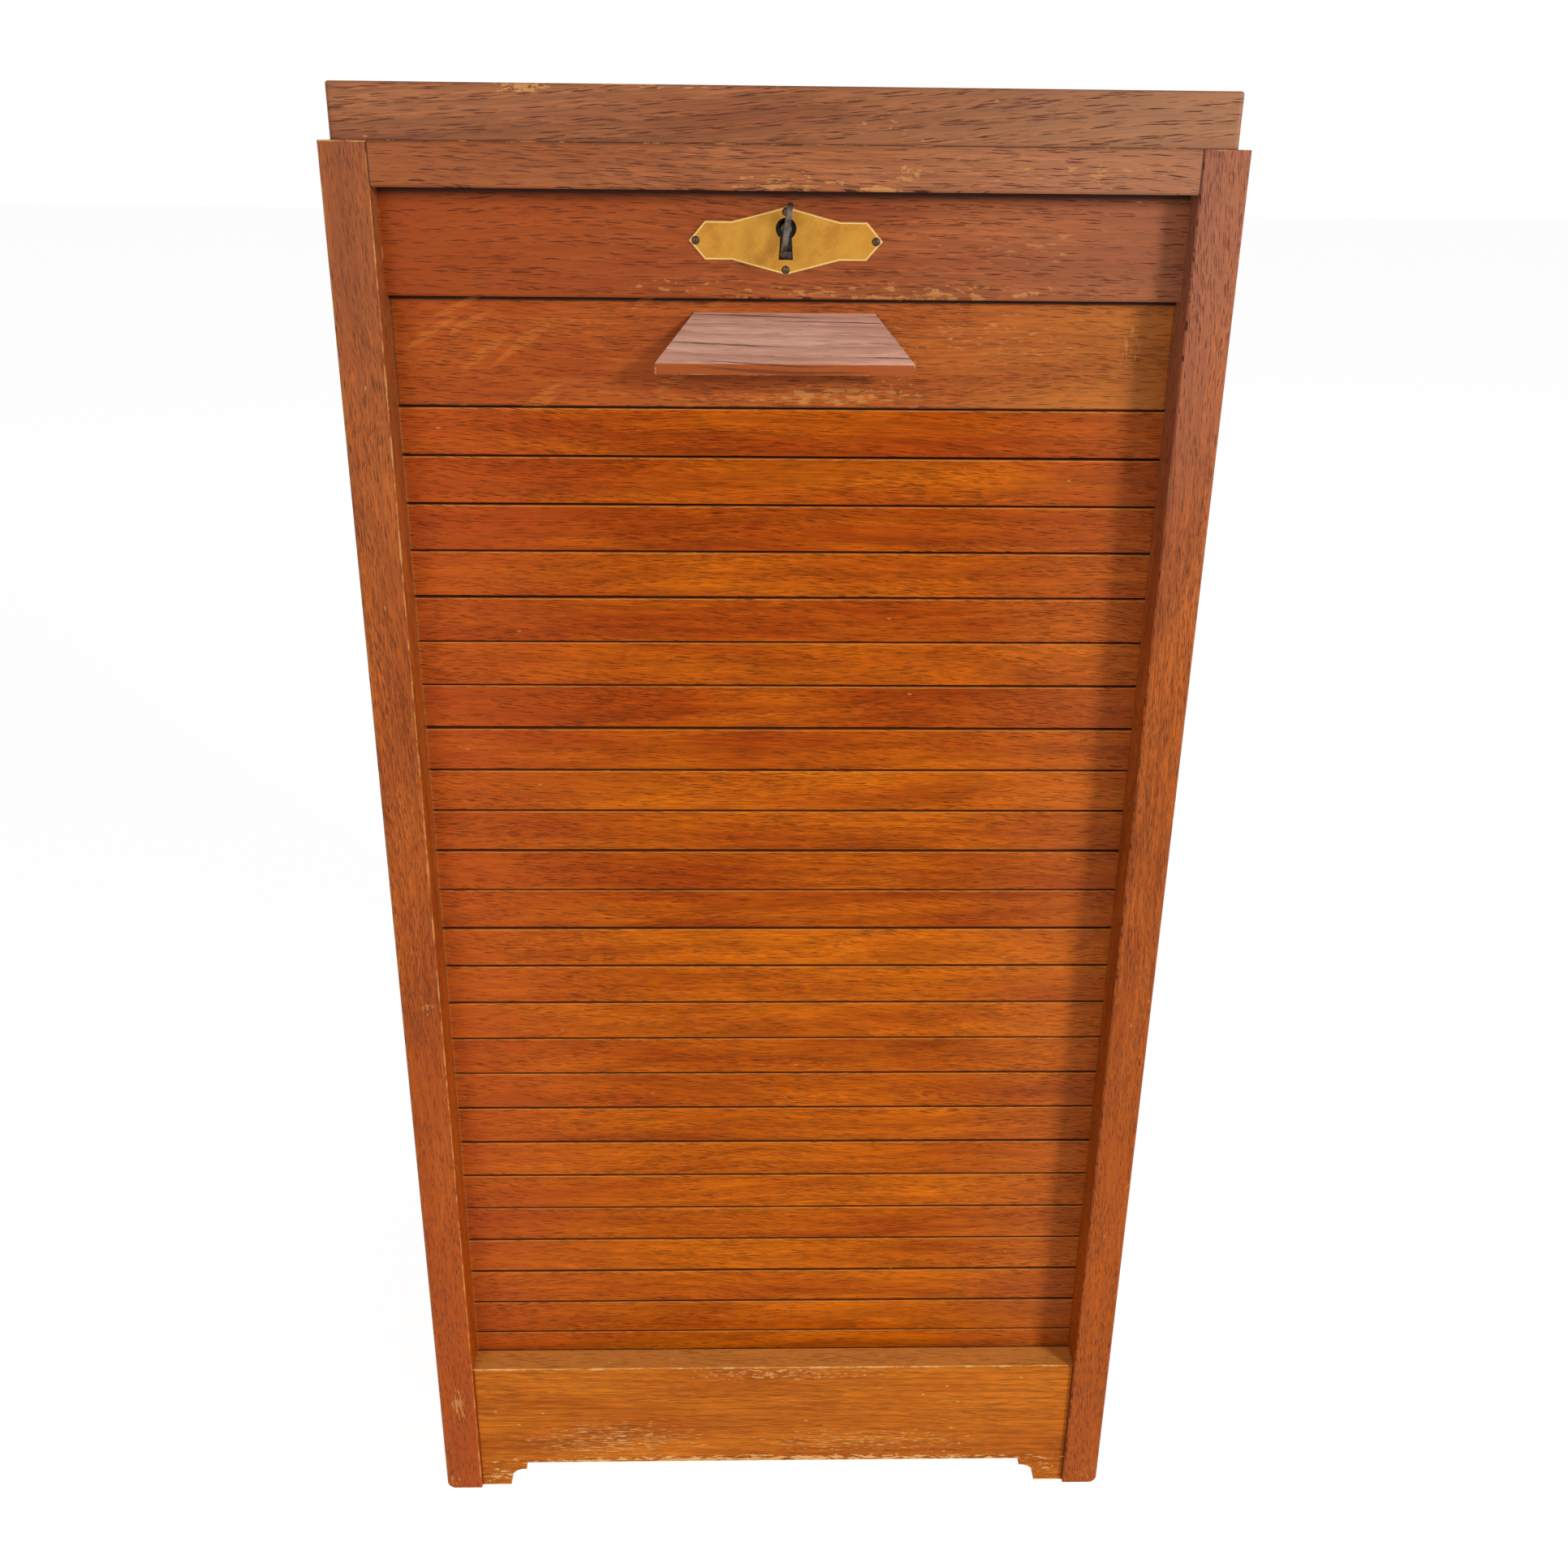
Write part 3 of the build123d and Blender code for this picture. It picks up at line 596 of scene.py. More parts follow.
@dataclass(frozen=True)
class MetalFinish:
    """Worn metal: rolled brass gone brown in clouds, or dark handled iron.

    A brass plate also has a lighter rim, partly rubbed bright and partly a painted
    highlight on its chamfer, worked out from the plate's own straight edges. Sizes are in mm.
    """

    name: str
    bright: str
    dull: str
    cloud: float
    grit: float
    metallic: float
    roughness: float = 0.42
    gloss_span: Pair = (-0.1, 0.15)
    cloud_span: Pair = (0.5, 0.85)
    grit_weight: float = 0.35
    relief: float = 0.2
    rim: float = 0.0
    rim_core: float = 0.8
    rim_light: float = 0.75
    rim_wear_and_highlight_colour: str = "#e6c27a"

    def build(self, middle: Point = (0.0, 0.0, 0.0), edges: Edges = ()) -> Material:
        """Makes the material from two tones that lie in clouds and in fine grit.

        Args:
            middle: Middle of the plate, in metres.
            edges: Outward direction and distance of the plate's shoulder, end and slope.

        Returns:
            The finished material.
        """
        material, tree = new_tree(self.name)
        whole = add_node(tree, "TexCoord", out="Object")
        place = add_node(tree, "VectorMath", (whole, middle), operation="SUBTRACT")
        spot = add_node(tree, "VectorMath", {0: place, "Scale": 1 / MM}, operation="SCALE")
        cloud, grit = (
            add_node(tree, "TexNoise", {"Vector": spot, "Scale": 1 / size, "Detail": detail})
            for size, detail in ((self.cloud, 5.0), (self.grit, 2.0))
        )
        mixed = add_node(tree, "Math", (grit, self.grit_weight, cloud), operation="MULTIPLY_ADD")
        share = add_node(tree, "MapRange", (mixed, *self.cloud_span))
        tones = {SHARE: share, UNDER: linear(self.bright), OVER: linear(self.dull)}
        colour = add_node(tree, "Mix", tones, out=MIXED, data_type="RGBA")
        if edges:
            colour = self._rim_wear_and_highlight(tree, spot, edges, colour)
        span = (share, 0.0, 1.0, *(self.roughness + more for more in self.gloss_span))
        shape = {"Height": grit, "Strength": 0.12, "Distance": self.relief * MM}
        look = {
            "Base Color": colour,
            "Roughness": add_node(tree, "MapRange", span),
            "Normal": add_node(tree, "Bump", shape),
            "Metallic": self.metallic,
        }
        add_node(tree, "OutputMaterial", (add_node(tree, "BsdfPrincipled", look),))
        return material

    def _rim_wear_and_highlight(self, tree: Tree, spot: Socket, edges: Edges, colour: Socket) -> Socket:
        """Lightens a band inside the plate's outline: rubbed brass and a painted highlight.

        Args:
            tree: Node tree of the material.
            spot: Place from the plate's middle.
            edges: Outward direction and distance of the shoulder, the end and the slope.
            colour: Colour of the plate's field.

        Returns:
            The colour with the rim.
        """
        mirrored = add_node(tree, "VectorMath", (spot,), operation="ABSOLUTE")
        depths = []
        for direction, distance in edges:
            out = add_node(
                tree, "VectorMath", (mirrored, direction), out="Value", operation="DOT_PRODUCT"
            )
            depths.append(add_node(tree, "Math", (distance, out), operation="SUBTRACT"))
        side = add_node(tree, "Math", (depths[0], depths[2]), operation="MAXIMUM")
        depth = add_node(tree, "Math", (side, depths[1]), operation="MINIMUM")
        # The band is partly rubbed brass and partly a painted highlight on the chamfer.
        span = (depth, self.rim * self.rim_core, self.rim, self.rim_light, 0.0)
        band = add_node(tree, "MapRange", span)
        tones = {SHARE: band, UNDER: colour, OVER: linear(self.rim_wear_and_highlight_colour)}
        return add_node(tree, "Mix", tones, out=MIXED, data_type="RGBA")


@dataclass(frozen=True)
class CanvasFinish:
    """Unbleached linen canvas in plain weave, which takes a dull, even light."""

    name: str = "linen_canvas"
    thread: str = "#a08c66"
    gap: str = "#5c4d34"
    spacing: float = 1.6

    def build(self) -> Material:
        """Makes the weave from two crossed waves, drawn coarse enough to show.

        Returns:
            The finished material.
        """
        material, tree = new_tree(self.name)
        place = add_node(tree, "Attribute", out="Vector", attribute_name=PLACE)
        turns = math.pi / self.spacing / MM
        spot = add_node(tree, "VectorMath", {0: place, "Scale": turns}, operation="SCALE")
        axes = add_node(tree, "SeparateXYZ", (spot,)).node.outputs
        waves = []
        for i in (0, 2):
            wave = add_node(tree, "Math", (axes[i],), operation="SINE")
            waves.append(add_node(tree, "Math", (wave,), operation="ABSOLUTE"))
        weave = add_node(tree, "Math", waves, operation="MULTIPLY")
        tones = {SHARE: weave, UNDER: linear(self.gap), OVER: linear(self.thread)}
        shape = {"Height": weave, "Strength": 0.4, "Distance": 0.3 * MM}
        look = {
            "Base Color": add_node(tree, "Mix", tones, out=MIXED, data_type="RGBA"),
            "Normal": add_node(tree, "Bump", shape),
            "Roughness": 0.9,
        }
        add_node(tree, "OutputMaterial", (add_node(tree, "BsdfPrincipled", look),))
        return material


class Bench:
    """The few hand movements that every new piece is shaped with."""

    @staticmethod
    def clear() -> None:
        """Leaves edit mode and deselects everything."""
        if bpy.context.mode != "OBJECT":
            bpy.ops.object.mode_set(mode="OBJECT")
        bpy.ops.object.select_all(action="DESELECT")

    @staticmethod
    def take(piece: Piece) -> None:
        """Makes a piece the only one selected."""
        Bench.clear()
        piece.select_set(True)
        bpy.context.view_layer.objects.active = piece

    @staticmethod
    def settle(name: str) -> Piece:
        """Names the active object and applies its place, turn and size to its mesh.

        Args:
            name: Name of the piece.

        Returns:
            The object.
        """
        piece = bpy.context.active_object
        piece.name = piece.data.name = name
        bpy.ops.object.transform_apply(location=True, rotation=True, scale=True)
        return piece

    @staticmethod
    def box(name: str, low: Vector, high: Vector) -> Piece:
        """Adds a cube at its size and place.

        Args:
            name: Name of the piece.
            low: Lowest corner, in metres.
            high: Highest corner, in metres.

        Returns:
            The object.
        """
        Bench.clear()
        bpy.ops.mesh.primitive_cube_add(size=1, location=(low + high) / 2, scale=high - low)
        return Bench.settle(name)

    @staticmethod
    def pick(piece: Piece, kind: str, test: Callable[[Vector], bool]) -> None:
        """Goes into edit mode with some of a mesh selected by its place.

        Args:
            piece: Object to edit.
            kind: VERT, EDGE or FACE.
            test: Tells from a corner, or from an edge's or a face's middle, if it is picked.
        """
        Bench.take(piece)
        bpy.ops.object.mode_set(mode="EDIT")
        bpy.ops.mesh.select_mode(type=kind)
        bpy.ops.mesh.select_all(action="DESELECT")
        bpy.ops.object.mode_set(mode="OBJECT")
        mesh = piece.data
        if kind == "VERT":
            for corner in mesh.vertices:
                corner.select = test(corner.co)
        elif kind == "EDGE":
            for edge in mesh.edges:
                ends = [mesh.vertices[i].co for i in edge.vertices]
                edge.select = test((ends[0] + ends[1]) / 2)
        else:
            for face in mesh.polygons:
                face.select = test(face.center)
        bpy.ops.object.mode_set(mode="EDIT")

    @staticmethod
    def smooth(piece: Piece, angle: float = 32.0) -> None:
        """Turns the faces outwards and shades the soft edges smooth.

        Args:
            piece: Finished object.
            angle: Largest angle that is shaded smooth, in degrees.
        """
        Bench.pick(piece, "FACE", lambda middle: True)
        bpy.ops.mesh.normals_make_consistent(inside=False)
        Bench.take(piece)
        bpy.ops.object.shade_smooth_by_angle(angle=math.radians(angle))
        Bench.clear()

    @staticmethod
    def round_edges(piece: Piece, width: float, segments: int, angle: float = 25.0) -> None:
        """Rounds all sharp edges with an applied bevel.

        Args:
            piece: Object to round.
            width: Width of the bevel, in metres.
            segments: Faces across the bevel.
            angle: Smallest angle that counts as sharp, in degrees.
        """
        Bench.take(piece)
        bevel = piece.modifiers.new("round", "BEVEL")
        bevel.width = width
        bevel.segments = segments
        bevel.limit_method = "ANGLE"
        bevel.angle_limit = math.radians(angle)
        bpy.ops.object.modifier_apply(modifier=bevel.name)

    @staticmethod
    def copy(piece: Piece, name: str) -> Piece:
        """Copies a piece with a mesh of its own.

        Args:
            piece: Object to copy.
            name: Name of the copy.

        Returns:
            The copy.
        """
        twin = piece.copy()
        twin.data = piece.data.copy()
        twin.name = twin.data.name = name
        bpy.context.scene.collection.objects.link(twin)
        return twin

    @staticmethod
    def join(pieces: list[Piece], name: str) -> Piece:
        """Joins pieces into one object.

        Args:
            pieces: Objects to join.
            name: Name of the whole.

        Returns:
            The joined object.
        """
        Bench.clear()
        for piece in pieces:
            piece.select_set(True)
        bpy.context.view_layer.objects.active = pieces[0]
        bpy.ops.object.join()
        return Bench.settle(name)

    @staticmethod
    def carry(piece: Piece, seed: Vector, tone: float) -> None:
        """Writes a board's own place, seed and tone to its mesh.

        Args:
            piece: Board, with its place in its mesh.
            seed: Where in the tree it was sawn, in mm.
            tone: How much lighter it is than its neighbours.
        """
        mesh = piece.data
        corners = [corner.co.copy() for corner in mesh.vertices]
        low = Vector([min(c[i] for c in corners) for i in range(3)])
        high = Vector([max(c[i] for c in corners) for i in range(3)])
        middle = (low + high) / 2
        for name in (PLACE, SEED):
            mesh.attributes.new(name, "FLOAT_VECTOR", "POINT")
        mesh.attributes.new(TONE, "FLOAT", "POINT")
        place, sawn, light = (mesh.attributes[n].data for n in (PLACE, SEED, TONE))
        for i, corner in enumerate(corners):
            place[i].vector = corner - middle
            sawn[i].vector = seed
            light[i].value = tone

    @staticmethod
    def seat(piece: Piece, body: str, slot: str, material: Material, *nodes: str) -> None:
        """Dresses a piece and hands it to the frame.

        Args:
            piece: Finished object.
            body: CAD body that it rides on.
            slot: Material slot; not used.
            material: Its finish.
            *nodes: CAD nodes that it stands for.
        """
        piece.data.materials.clear()
        piece.data.materials.append(material)
        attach(piece, body)
        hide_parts(*nodes)
        LOG.info("piece %s rides on %s", piece.name, body)

    @staticmethod
    def dress(node: str, material: Material) -> None:
        """Gives a CAD node its finish.

        Args:
            node: Name of the node.
            material: Finish for all of it.
        """
        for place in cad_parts[node].material_slots:
            place.material = material
        LOG.info("node %s keeps its mesh", node)


FRAME_OAK = OakFinish(
    name="frame_oak",
    dark="#823a10",
    light="#aa571c",
    grain=Grain.UPRIGHT,
    run_out=(0.03, 0.02),
    pore_size=(14.0, 0.66),
    pore_share=(0.55, 1.0),
    pore_depth=0.85,
    shine=0.14,
)
CROSS_OAK = replace(FRAME_OAK, grain=Grain.ACROSS)
INSIDE_OAK = OakFinish(
    name="inside_oak",
    dark="#8f5f34",
    light="#b98650",
    pore="#5c3a1e",
    worn="#c9a06c",
    pore_depth=0.5,
    edge_wear=0.0,
    nick_share=0.05,
    scratch_share=0.0,
    roughness=0.6,
)


@dataclass
class Carcass:
    """Fixed boards of the cabinet, which keep their CAD meshes and get their oak.

    The joint is the colour of the dark joints, which also paints the shadow under the front rail,
    and inner half the way between the posts, in mm.
    """

    joint: str = "#2a1208"
    inner: float = 224.0

    def _ends(self) -> tuple[Tint, ...]:
        """Gives the dark joints at both ends of a board between the posts."""
        inner = self.inner
        return tuple(Tint(self.joint, Axis.X, s * inner, s * (inner - 1.0), 0.9) for s in (-1, 1))

    @staticmethod
    def _posts() -> dict[str, OakFinish]:
        """Gives the front posts their finishes.

        Returns:
            Node name to finish.
        """
        post = replace(FRAME_OAK, edge_reach=1.5)
        return {
            "left_front_post": replace(
                post,
                name="oak_left_post",
                pith=(130.0, 150.0, 60.0),
                edge_wear=0.7,
                tints=(
                    # Painted sheen: the tint at the head greys the post as a sheen would, and the
                    # saturated tint at the foot offsets the even gloss there.
                    Tint("#a64600", Axis.Z, -479.0, 300.0, 0.8),
                    Tint("#8a5232", Axis.Z, 479.0, 150.0, 0.55),
                ),
                patches=(
                    Patch((0.8, -22.5, -394.0), (5.0, 12.0, 19.0), 0.65, 0.75, (10.0, 1.8)),
                    Patch((4.4, -22.5, -53.0), (5.0, 12.0, 6.0), 0.55, 0.5, (3.5, 2.5)),
                    Patch((-9.0, -22.5, -470.0), (9.0, 20.0, 11.0), 0.35, 0.6, (6.0, 2.0)),
                ),
            ),
            "right_front_post": replace(
                post,
                name="oak_right_post",
                pith=(-420.0, 130.0, 35.0),
                edge_wear=0.3,
                scratch_share=0.006,
                tints=(
                    # Painted sheen: the tint at the head greys the post as a sheen would, and the
                    # saturated tint at the foot offsets the even gloss there.
                    Tint("#a64c00", Axis.Z, -479.0, 200.0, 0.8),
                    Tint("#966450", Axis.Z, 479.0, 150.0, 0.6),
                ),
                patches=(Patch((6.0, -22.5, -468.0), (12.0, 20.0, 11.0), 0.3, 0.6, (5.0, 2.0)),),
            ),
        }

    def _head(self) -> dict[str, OakFinish]:
        """Gives the boards above the curtain their finishes.

        Returns:
            Node name to finish.
        """
        low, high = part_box("lock_panel")
        under = (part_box("front_top_rail")[0].z - (low.z + high.z) / 2) / MM
        return {
            "front_top_rail": replace(
                CROSS_OAK,
                name="oak_front_rail",
                dark="#7b3f1b",
                light="#9a5b34",
                pith=(300.0, 190.0, 60.0),
                run_out=(0.01, 0.02),
                pore_size=(25.0, 0.95),
                pore_share=(0.3, 0.9),
                pore_depth=1.0,
                edge_wear=0.35,
                shine=0.24,
                tints=(
                    Tint("#884212", Axis.X, -230.0, 40.0, 0.65),
                    # Greyer towards the right: a painted sheen.
                    Tint("#a06e50", Axis.X, 230.0, 0.0, 0.5),
                    *self._ends(),
                ),
                patches=(
                    Patch((2.0, -8.5, -7.5), (44.0, 8.0, 7.0), 0.42, 0.6, (9.0, 2.4)),
                    Patch((50.0, -8.5, -11.0), (16.0, 8.0, 3.0), 0.8, 0.7, (9.0, 2.4)),
                    Patch((64.0, -8.5, -2.0), (14.0, 8.0, 6.0), 0.45, 0.5, (6.0, 4.0)),
                    Patch((160.0, -8.5, -2.0), (70.0, 8.0, 9.0), 0.2, 0.5, (8.0, 3.0)),
                ),
            ),
            "lock_panel": replace(
                CROSS_OAK,
                name="oak_lock_panel",
                dark="#7c3716",
                light="#9a5227",
                pith=(-160.0, 160.0, 50.0),
                run_out=(0.015, 0.02),
                ring=7.5,
                pore_size=(22.0, 0.95),
                pore_share=(0.2, 0.95),
                pore_depth=0.85,
                tints=(
                    Tint("#8e3a06", Axis.X, -230.0, 60.0, 0.8),
                    # Greyer towards the right: a painted sheen.
                    Tint("#935c40", Axis.X, 230.0, 0.0, 0.55),
                    # Painted shadow of the front rail along the top of the panel, in the dark joint
                    # colour.
                    Tint(self.joint, Axis.Z, under - 1.5, under - 5.0, 0.95),
                    Tint(INSIDE_OAK.dark, Axis.Z, under + 2.0, under + 0.5, 1.0),
                ),
                patches=(
                    Patch((70.0, -4.0, -34.0), (130.0, 6.0, 8.0), 0.45, 0.5, (8.0, 3.2)),
                    Patch((-60.0, -4.0, -30.0), (70.0, 6.0, 9.0), 0.2, 0.5, (7.0, 3.5)),
                    Patch((128.0, -4.0, -5.0), (80.0, 6.0, 15.0), 0.22, 0.4, (13.0, 2.6)),
                ),
            ),
            "top_board": replace(
                CROSS_OAK,
                name="oak_top_board",
                dark="#773f1d",
                light="#965a32",
                pith=(60.0, 200.0, 70.0),
                run_out=(-0.08, 0.0),
                sway=9.0,
                ring=6.5,
                pore_size=(26.0, 1.05),
                pore_share=(0.15, 1.0),
                pore_depth=1.0,
                shine=0.28,
                tints=(
                    # Greyer towards the right: a painted sheen.
                    Tint("#a07352", Axis.X, 240.0, -40.0, 0.5),
                    # Dark line where the top board meets the rail: a joint, partly painted shade.
                    Tint(self.joint, Axis.Z, -14.5, -13.4, 0.9),
                ),
                patches=(
                    Patch((-142.0, -195.0, 13.0), (14.0, 6.0, 3.0), 0.9, 0.75, (4.0, 2.0)),
                    Patch((-60.0, -195.0, 14.0), (60.0, 6.0, 2.0), 0.4, 0.7, (7.0, 2.0)),
                    Patch((50.0, -195.0, -4.5), (26.0, 6.0, 5.0), 0.25, 0.6, (6.0, 2.4)),
                ),
            ),
        }

    def _foot(self) -> dict[str, OakFinish]:
        """Gives the plinth its finish.

        Returns:
            Node name to finish.
        """
        return {
            "plinth": replace(
                CROSS_OAK,
                name="oak_plinth",
                dark="#9d4b09",
                light="#c06a16",
                worn="#dcb06c",
                pith=(210.0, 160.0, 60.0),
                run_out=(0.01, 0.02),
                pore_size=(24.0, 0.72),
                pore_share=(0.35, 0.8),
                pore_depth=0.6,
                edge_wear=0.45,
                edge_reach=2.0,
                nick_share=0.15,
                shine=0.06,
                # The lighter top of the ledge is painted light and sheen from above, partly dust;
                # the dark ends are joints.
                tints=(*self._ends(), Tint("#dc9648", Axis.Z, 56.6, 55.6, 0.7)),
                patches=(
                    Patch((-122.0, -10.4, -14.0), (98.0, 8.0, 27.0), 0.36, 0.6, (10.0, 1.1)),
                    Patch((10.0, -10.4, -34.0), (215.0, 8.0, 5.0), 0.75, 0.75, (9.0, 2.2)),
                    Patch((70.0, -10.4, -16.0), (120.0, 8.0, 17.0), 0.3, 0.6, (9.0, 1.2)),
                    Patch((5.0, -10.4, 51.0), (85.0, 8.0, 8.0), 0.45, 0.45, (7.0, 2.2)),
                    Patch((-207.0, -10.4, -47.0), (20.0, 8.0, 9.0), 0.5, 0.7, (6.0, 2.0)),
                    Patch((209.0, -10.4, -45.0), (20.0, 8.0, 10.0), 0.35, 0.6, (5.0, 2.0)),
                ),
            ),
        }

    @staticmethod
    def _rest() -> dict[str, OakFinish]:
        """Gives the boards behind, beside and inside their finishes.

        Returns:
            Node name to finish.
        """
        made = {
            "left_rear_post": replace(FRAME_OAK, pith=(-300.0, 140.0, 70.0)),
            "right_rear_post": replace(FRAME_OAK, pith=(80.0, 150.0, 45.0)),
            "rear_top_rail": replace(CROSS_OAK, pith=(-90.0, 180.0, 80.0)),
            "rear_bottom_rail": replace(CROSS_OAK, pith=(170.0, 160.0, 60.0)),
            "back_panel": replace(
                FRAME_OAK, dark="#7d4a25", light="#9d6837", pith=(0.0, 30.0, 70.0), ring=8.0
            ),
        }
        for hand, turn in (("left", 1.0), ("right", -1.0)):
            deep = replace(FRAME_OAK, grain=Grain.DEEP, pith=(220.0 * turn, 150.0, 80.0))
            inside = replace(INSIDE_OAK, pith=(140.0 * turn, 170.0, 120.0))
            made[f"{hand}_side_top_rail"] = deep
            made[f"{hand}_side_bottom_rail"] = replace(deep, pith=(90.0 * turn, 170.0, 60.0))
            made[f"{hand}_side_panel"] = replace(
                FRAME_OAK, pith=(50.0 * turn, 40.0 * turn, 90.0), ring=8.0
            )
            made[f"{hand}_track_board"] = replace(inside, grain=Grain.UPRIGHT)
            made[f"{hand}_shelf_battens"] = replace(inside, grain=Grain.DEEP)
        for node in ("inner_back", "inner_floor", "bottom_board", "top_tenons"):
            made[node] = INSIDE_OAK
        shelves = sorted(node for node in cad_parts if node.startswith("shelf_"))
        for index, node in enumerate(shelves):
            made[node] = replace(INSIDE_OAK, pith=(90.0 * index, 40.0 + 9.0 * index, 150.0))
        return {node: replace(oak, name=f"oak_{node}") for node, oak in made.items()}

    def dress(self) -> None:
        """Puts the oak on every fixed board."""
        boards = self._posts() | self._head() | self._foot() | self._rest()
        for node, oak in boards.items():
            Bench.dress(node, oak.build(*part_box(node)))


@dataclass
class Curtain:
    """Slats on a canvas and the lead board that pulls them.

    Gaps, edges and play are in metres, the places where the slats were sawn in mm, and
    turns in radians.
    """

    body: str = "tambour"
    joint: str = "tambour_slide"
    slot: str = "curtain_oak"
    count: int = 25
    cad_gap: float = 0.6 * MM
    gap: float = 0.8 * MM
    top_edge: float = 0.7 * MM
    foot_edge: float = 1.3 * MM
    kept: float = 0.015
    play_up: float = 0.25 * MM
    play_out: float = 0.25 * MM
    play_turn: float = 0.001
    play_tilt: float = 0.008
    # Colour of the dark seams; the same colour paints the shadow under the lock panel.
    seam_and_shade: str = "#241008"
    tone: float = 0.09
    # Painted light: a tone that rises from the top slat to the bottom one.
    painted_light_rise: float = 0.21
    draw_seed: int = 41
    sawn_along: Pair = (-900.0, 900.0)
    sawn_across: Pair = (0.0, 90.0)
    sawn_deep: Pair = (25.0, 150.0)

    def build(self) -> None:
        """Models the slats and the canvas, and dresses the lead board."""
        self._slats()
        self._canvas()
        low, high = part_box("lead_board")
        half = (high.z - low.z) / 2 / MM
        head = (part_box("lock_panel")[0].z - (low.z + high.z) / 2) / MM
        lead = OakFinish(
            name="oak_lead_board",
            dark="#8b390f",
            light="#aa5a21",
            pith=(-60.0, 170.0, 60.0),
            run_out=(0.01, 0.02),
            pore_size=(18.0, 0.8),
            pore_share=(0.4, 0.9),
            pore_depth=0.75,
            shine=0.12,
            cracks=0.3,
            rays=0.22,
            tints=(
                Tint("#9c4006", Axis.X, -225.0, -20.0, 0.55),
                # Paler towards the right: a painted sheen.
                Tint("#ab6a2c", Axis.X, 225.0, 20.0, 0.45),
                Tint("#c08a50", Axis.X, -225.0, -222.6, 0.8),
                # Painted shadow that the lock panel casts on the top of the lead board.
                Tint(self.seam_and_shade, Axis.Z, head - 1.8, head - 3.4, 1.0),
                Tint(INSIDE_OAK.dark, Axis.Z, head + 2.0, head + 0.5, 1.0),
                # Dark line at the lead board's foot: a seam, partly painted shade.
                Tint(self.seam_and_shade, Axis.Z, -half, 1.4 - half, 0.95),
            ),
            patches=(
                Patch((32.0, -7.0, -32.0), (62.0, 8.0, 8.0), 0.55, 0.5, (11.0, 3.0)),
                Patch((68.0, -7.0, -14.0), (14.0, 8.0, 20.0), 0.35, 0.55, (6.0, 2.4)),
                Patch((201.0, -7.0, -3.0), (8.0, 8.0, 24.0), 0.38, 0.45, (1.4, 9.0)),
                Patch((120.0, -7.0, 4.0), (80.0, 8.0, 26.0), 0.2, 0.45, (9.0, 1.8)),
            ),
        )
        Bench.dress("lead_board", lead.build(low, high))

    def _squash(self, piece: Piece) -> None:
        """Gives a piece a mesh of its own."""
        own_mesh(piece)

    def _slats(self) -> None:
        """Models one slat, copies it, and lets each copy sit a little apart."""
        low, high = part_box("tambour_slats")
        pitch = (high.z - low.z + self.cad_gap) / self.count
        top = high - Vector((0, 0, (self.gap - self.cad_gap) / 2))
        foot = Vector((low.x, low.y, top.z - pitch + self.gap))
        first = Bench.box("slat", foot, top)
        touch = 0.1 * MM
        for z, width in ((top.z, self.top_edge), (foot.z, self.foot_edge)):
            Bench.pick(
                first,
                "EDGE",
                lambda co, z=z: co.y < low.y + touch and abs(co.z - z) < touch,
            )
            bpy.ops.mesh.bevel(offset=width, segments=4, profile=0.5)
        Bench.clear()
        draw = random.Random(self.draw_seed)
        slats = []
        for index in range(self.count):
            slat = Bench.copy(first, f"slat_{index + 1}")
            slat.data.transform(Matrix.Translation((0, 0, -index * pitch)))
            side = draw.choice((-1, 1))
            along = draw.uniform(*self.sawn_along)
            across = side * draw.uniform(*self.sawn_across)
            seed = Vector((along, across, draw.uniform(*self.sawn_deep)))
            # Painted light: lower slats are painted lighter, added to each slat's random tone.
            fade = self.painted_light_rise * (index / (self.count - 1) - 0.5)
            Bench.carry(slat, seed, draw.uniform(-1, 1) * self.tone + fade)
            middle = Matrix.Translation((foot + top) / 2 - Vector((0, 0, index * pitch)))
            nudge = (0, draw.uniform(0, 1) * self.play_out, draw.uniform(-1, 1) * self.play_up)
            turn = Matrix.Rotation(draw.uniform(-1, 1) * self.play_turn, 4, "Y")
            tilt = Matrix.Rotation(draw.uniform(-1, 1) * self.play_tilt, 4, "X")
            moved = Matrix.Translation(nudge) @ middle @ turn @ tilt @ middle.inverted()
            slat.data.transform(moved)
            slats.append(slat)
        bpy.data.objects.remove(first)
        curtain = Bench.join(slats, "slat_curtain")
        Bench.smooth(curtain)
        head = (top.z - foot.z) / 2 / MM
        oak = OakFinish(
            name="oak_slats",
            dark="#903803",
            light="#bb5d07",
            pore="#380f02",
            sway=18.0,
            pore_size=(18.0, 0.62),
            pore_share=(0.4, 0.9),
            pore_depth=0.8,
            edge_wear=-0.1,
            nick_share=0.02,
            scratch_share=0.0,
            roughness=0.36,
            shine=0.05,
            tints=(
                Tint("#aa4a20", Axis.X, -235.0, -70.0, 0.55),
                # Greyer towards the right end: a painted reflection.
                Tint("#a85a30", Axis.X, 235.0, 90.0, 0.4),
                # Pale band below each slat's top edge: a worn arris, partly a painted highlight.
                Tint("#d58a3c", Axis.Z, head - 0.5, head - 1.5, 0.45),
                # Dark top edge of each slat: dust, partly painted shade in the gap.
                Tint("#46200f", Axis.Z, head, head - 0.5, 0.85),
                # Dark foot of each slat: painted shade along the gap, partly dirt.
                Tint("#441a0a", Axis.Z, -head, 0.8 - head, 0.85),
                Tint("#c08a50", Axis.X, -225.0, -222.8, 0.7),
            ),
        )
        material = oak.build(foot, top, own_place=True)
        Bench.seat(curtain, self.body, self.slot, material, "tambour_slats")
        self._squash(curtain)

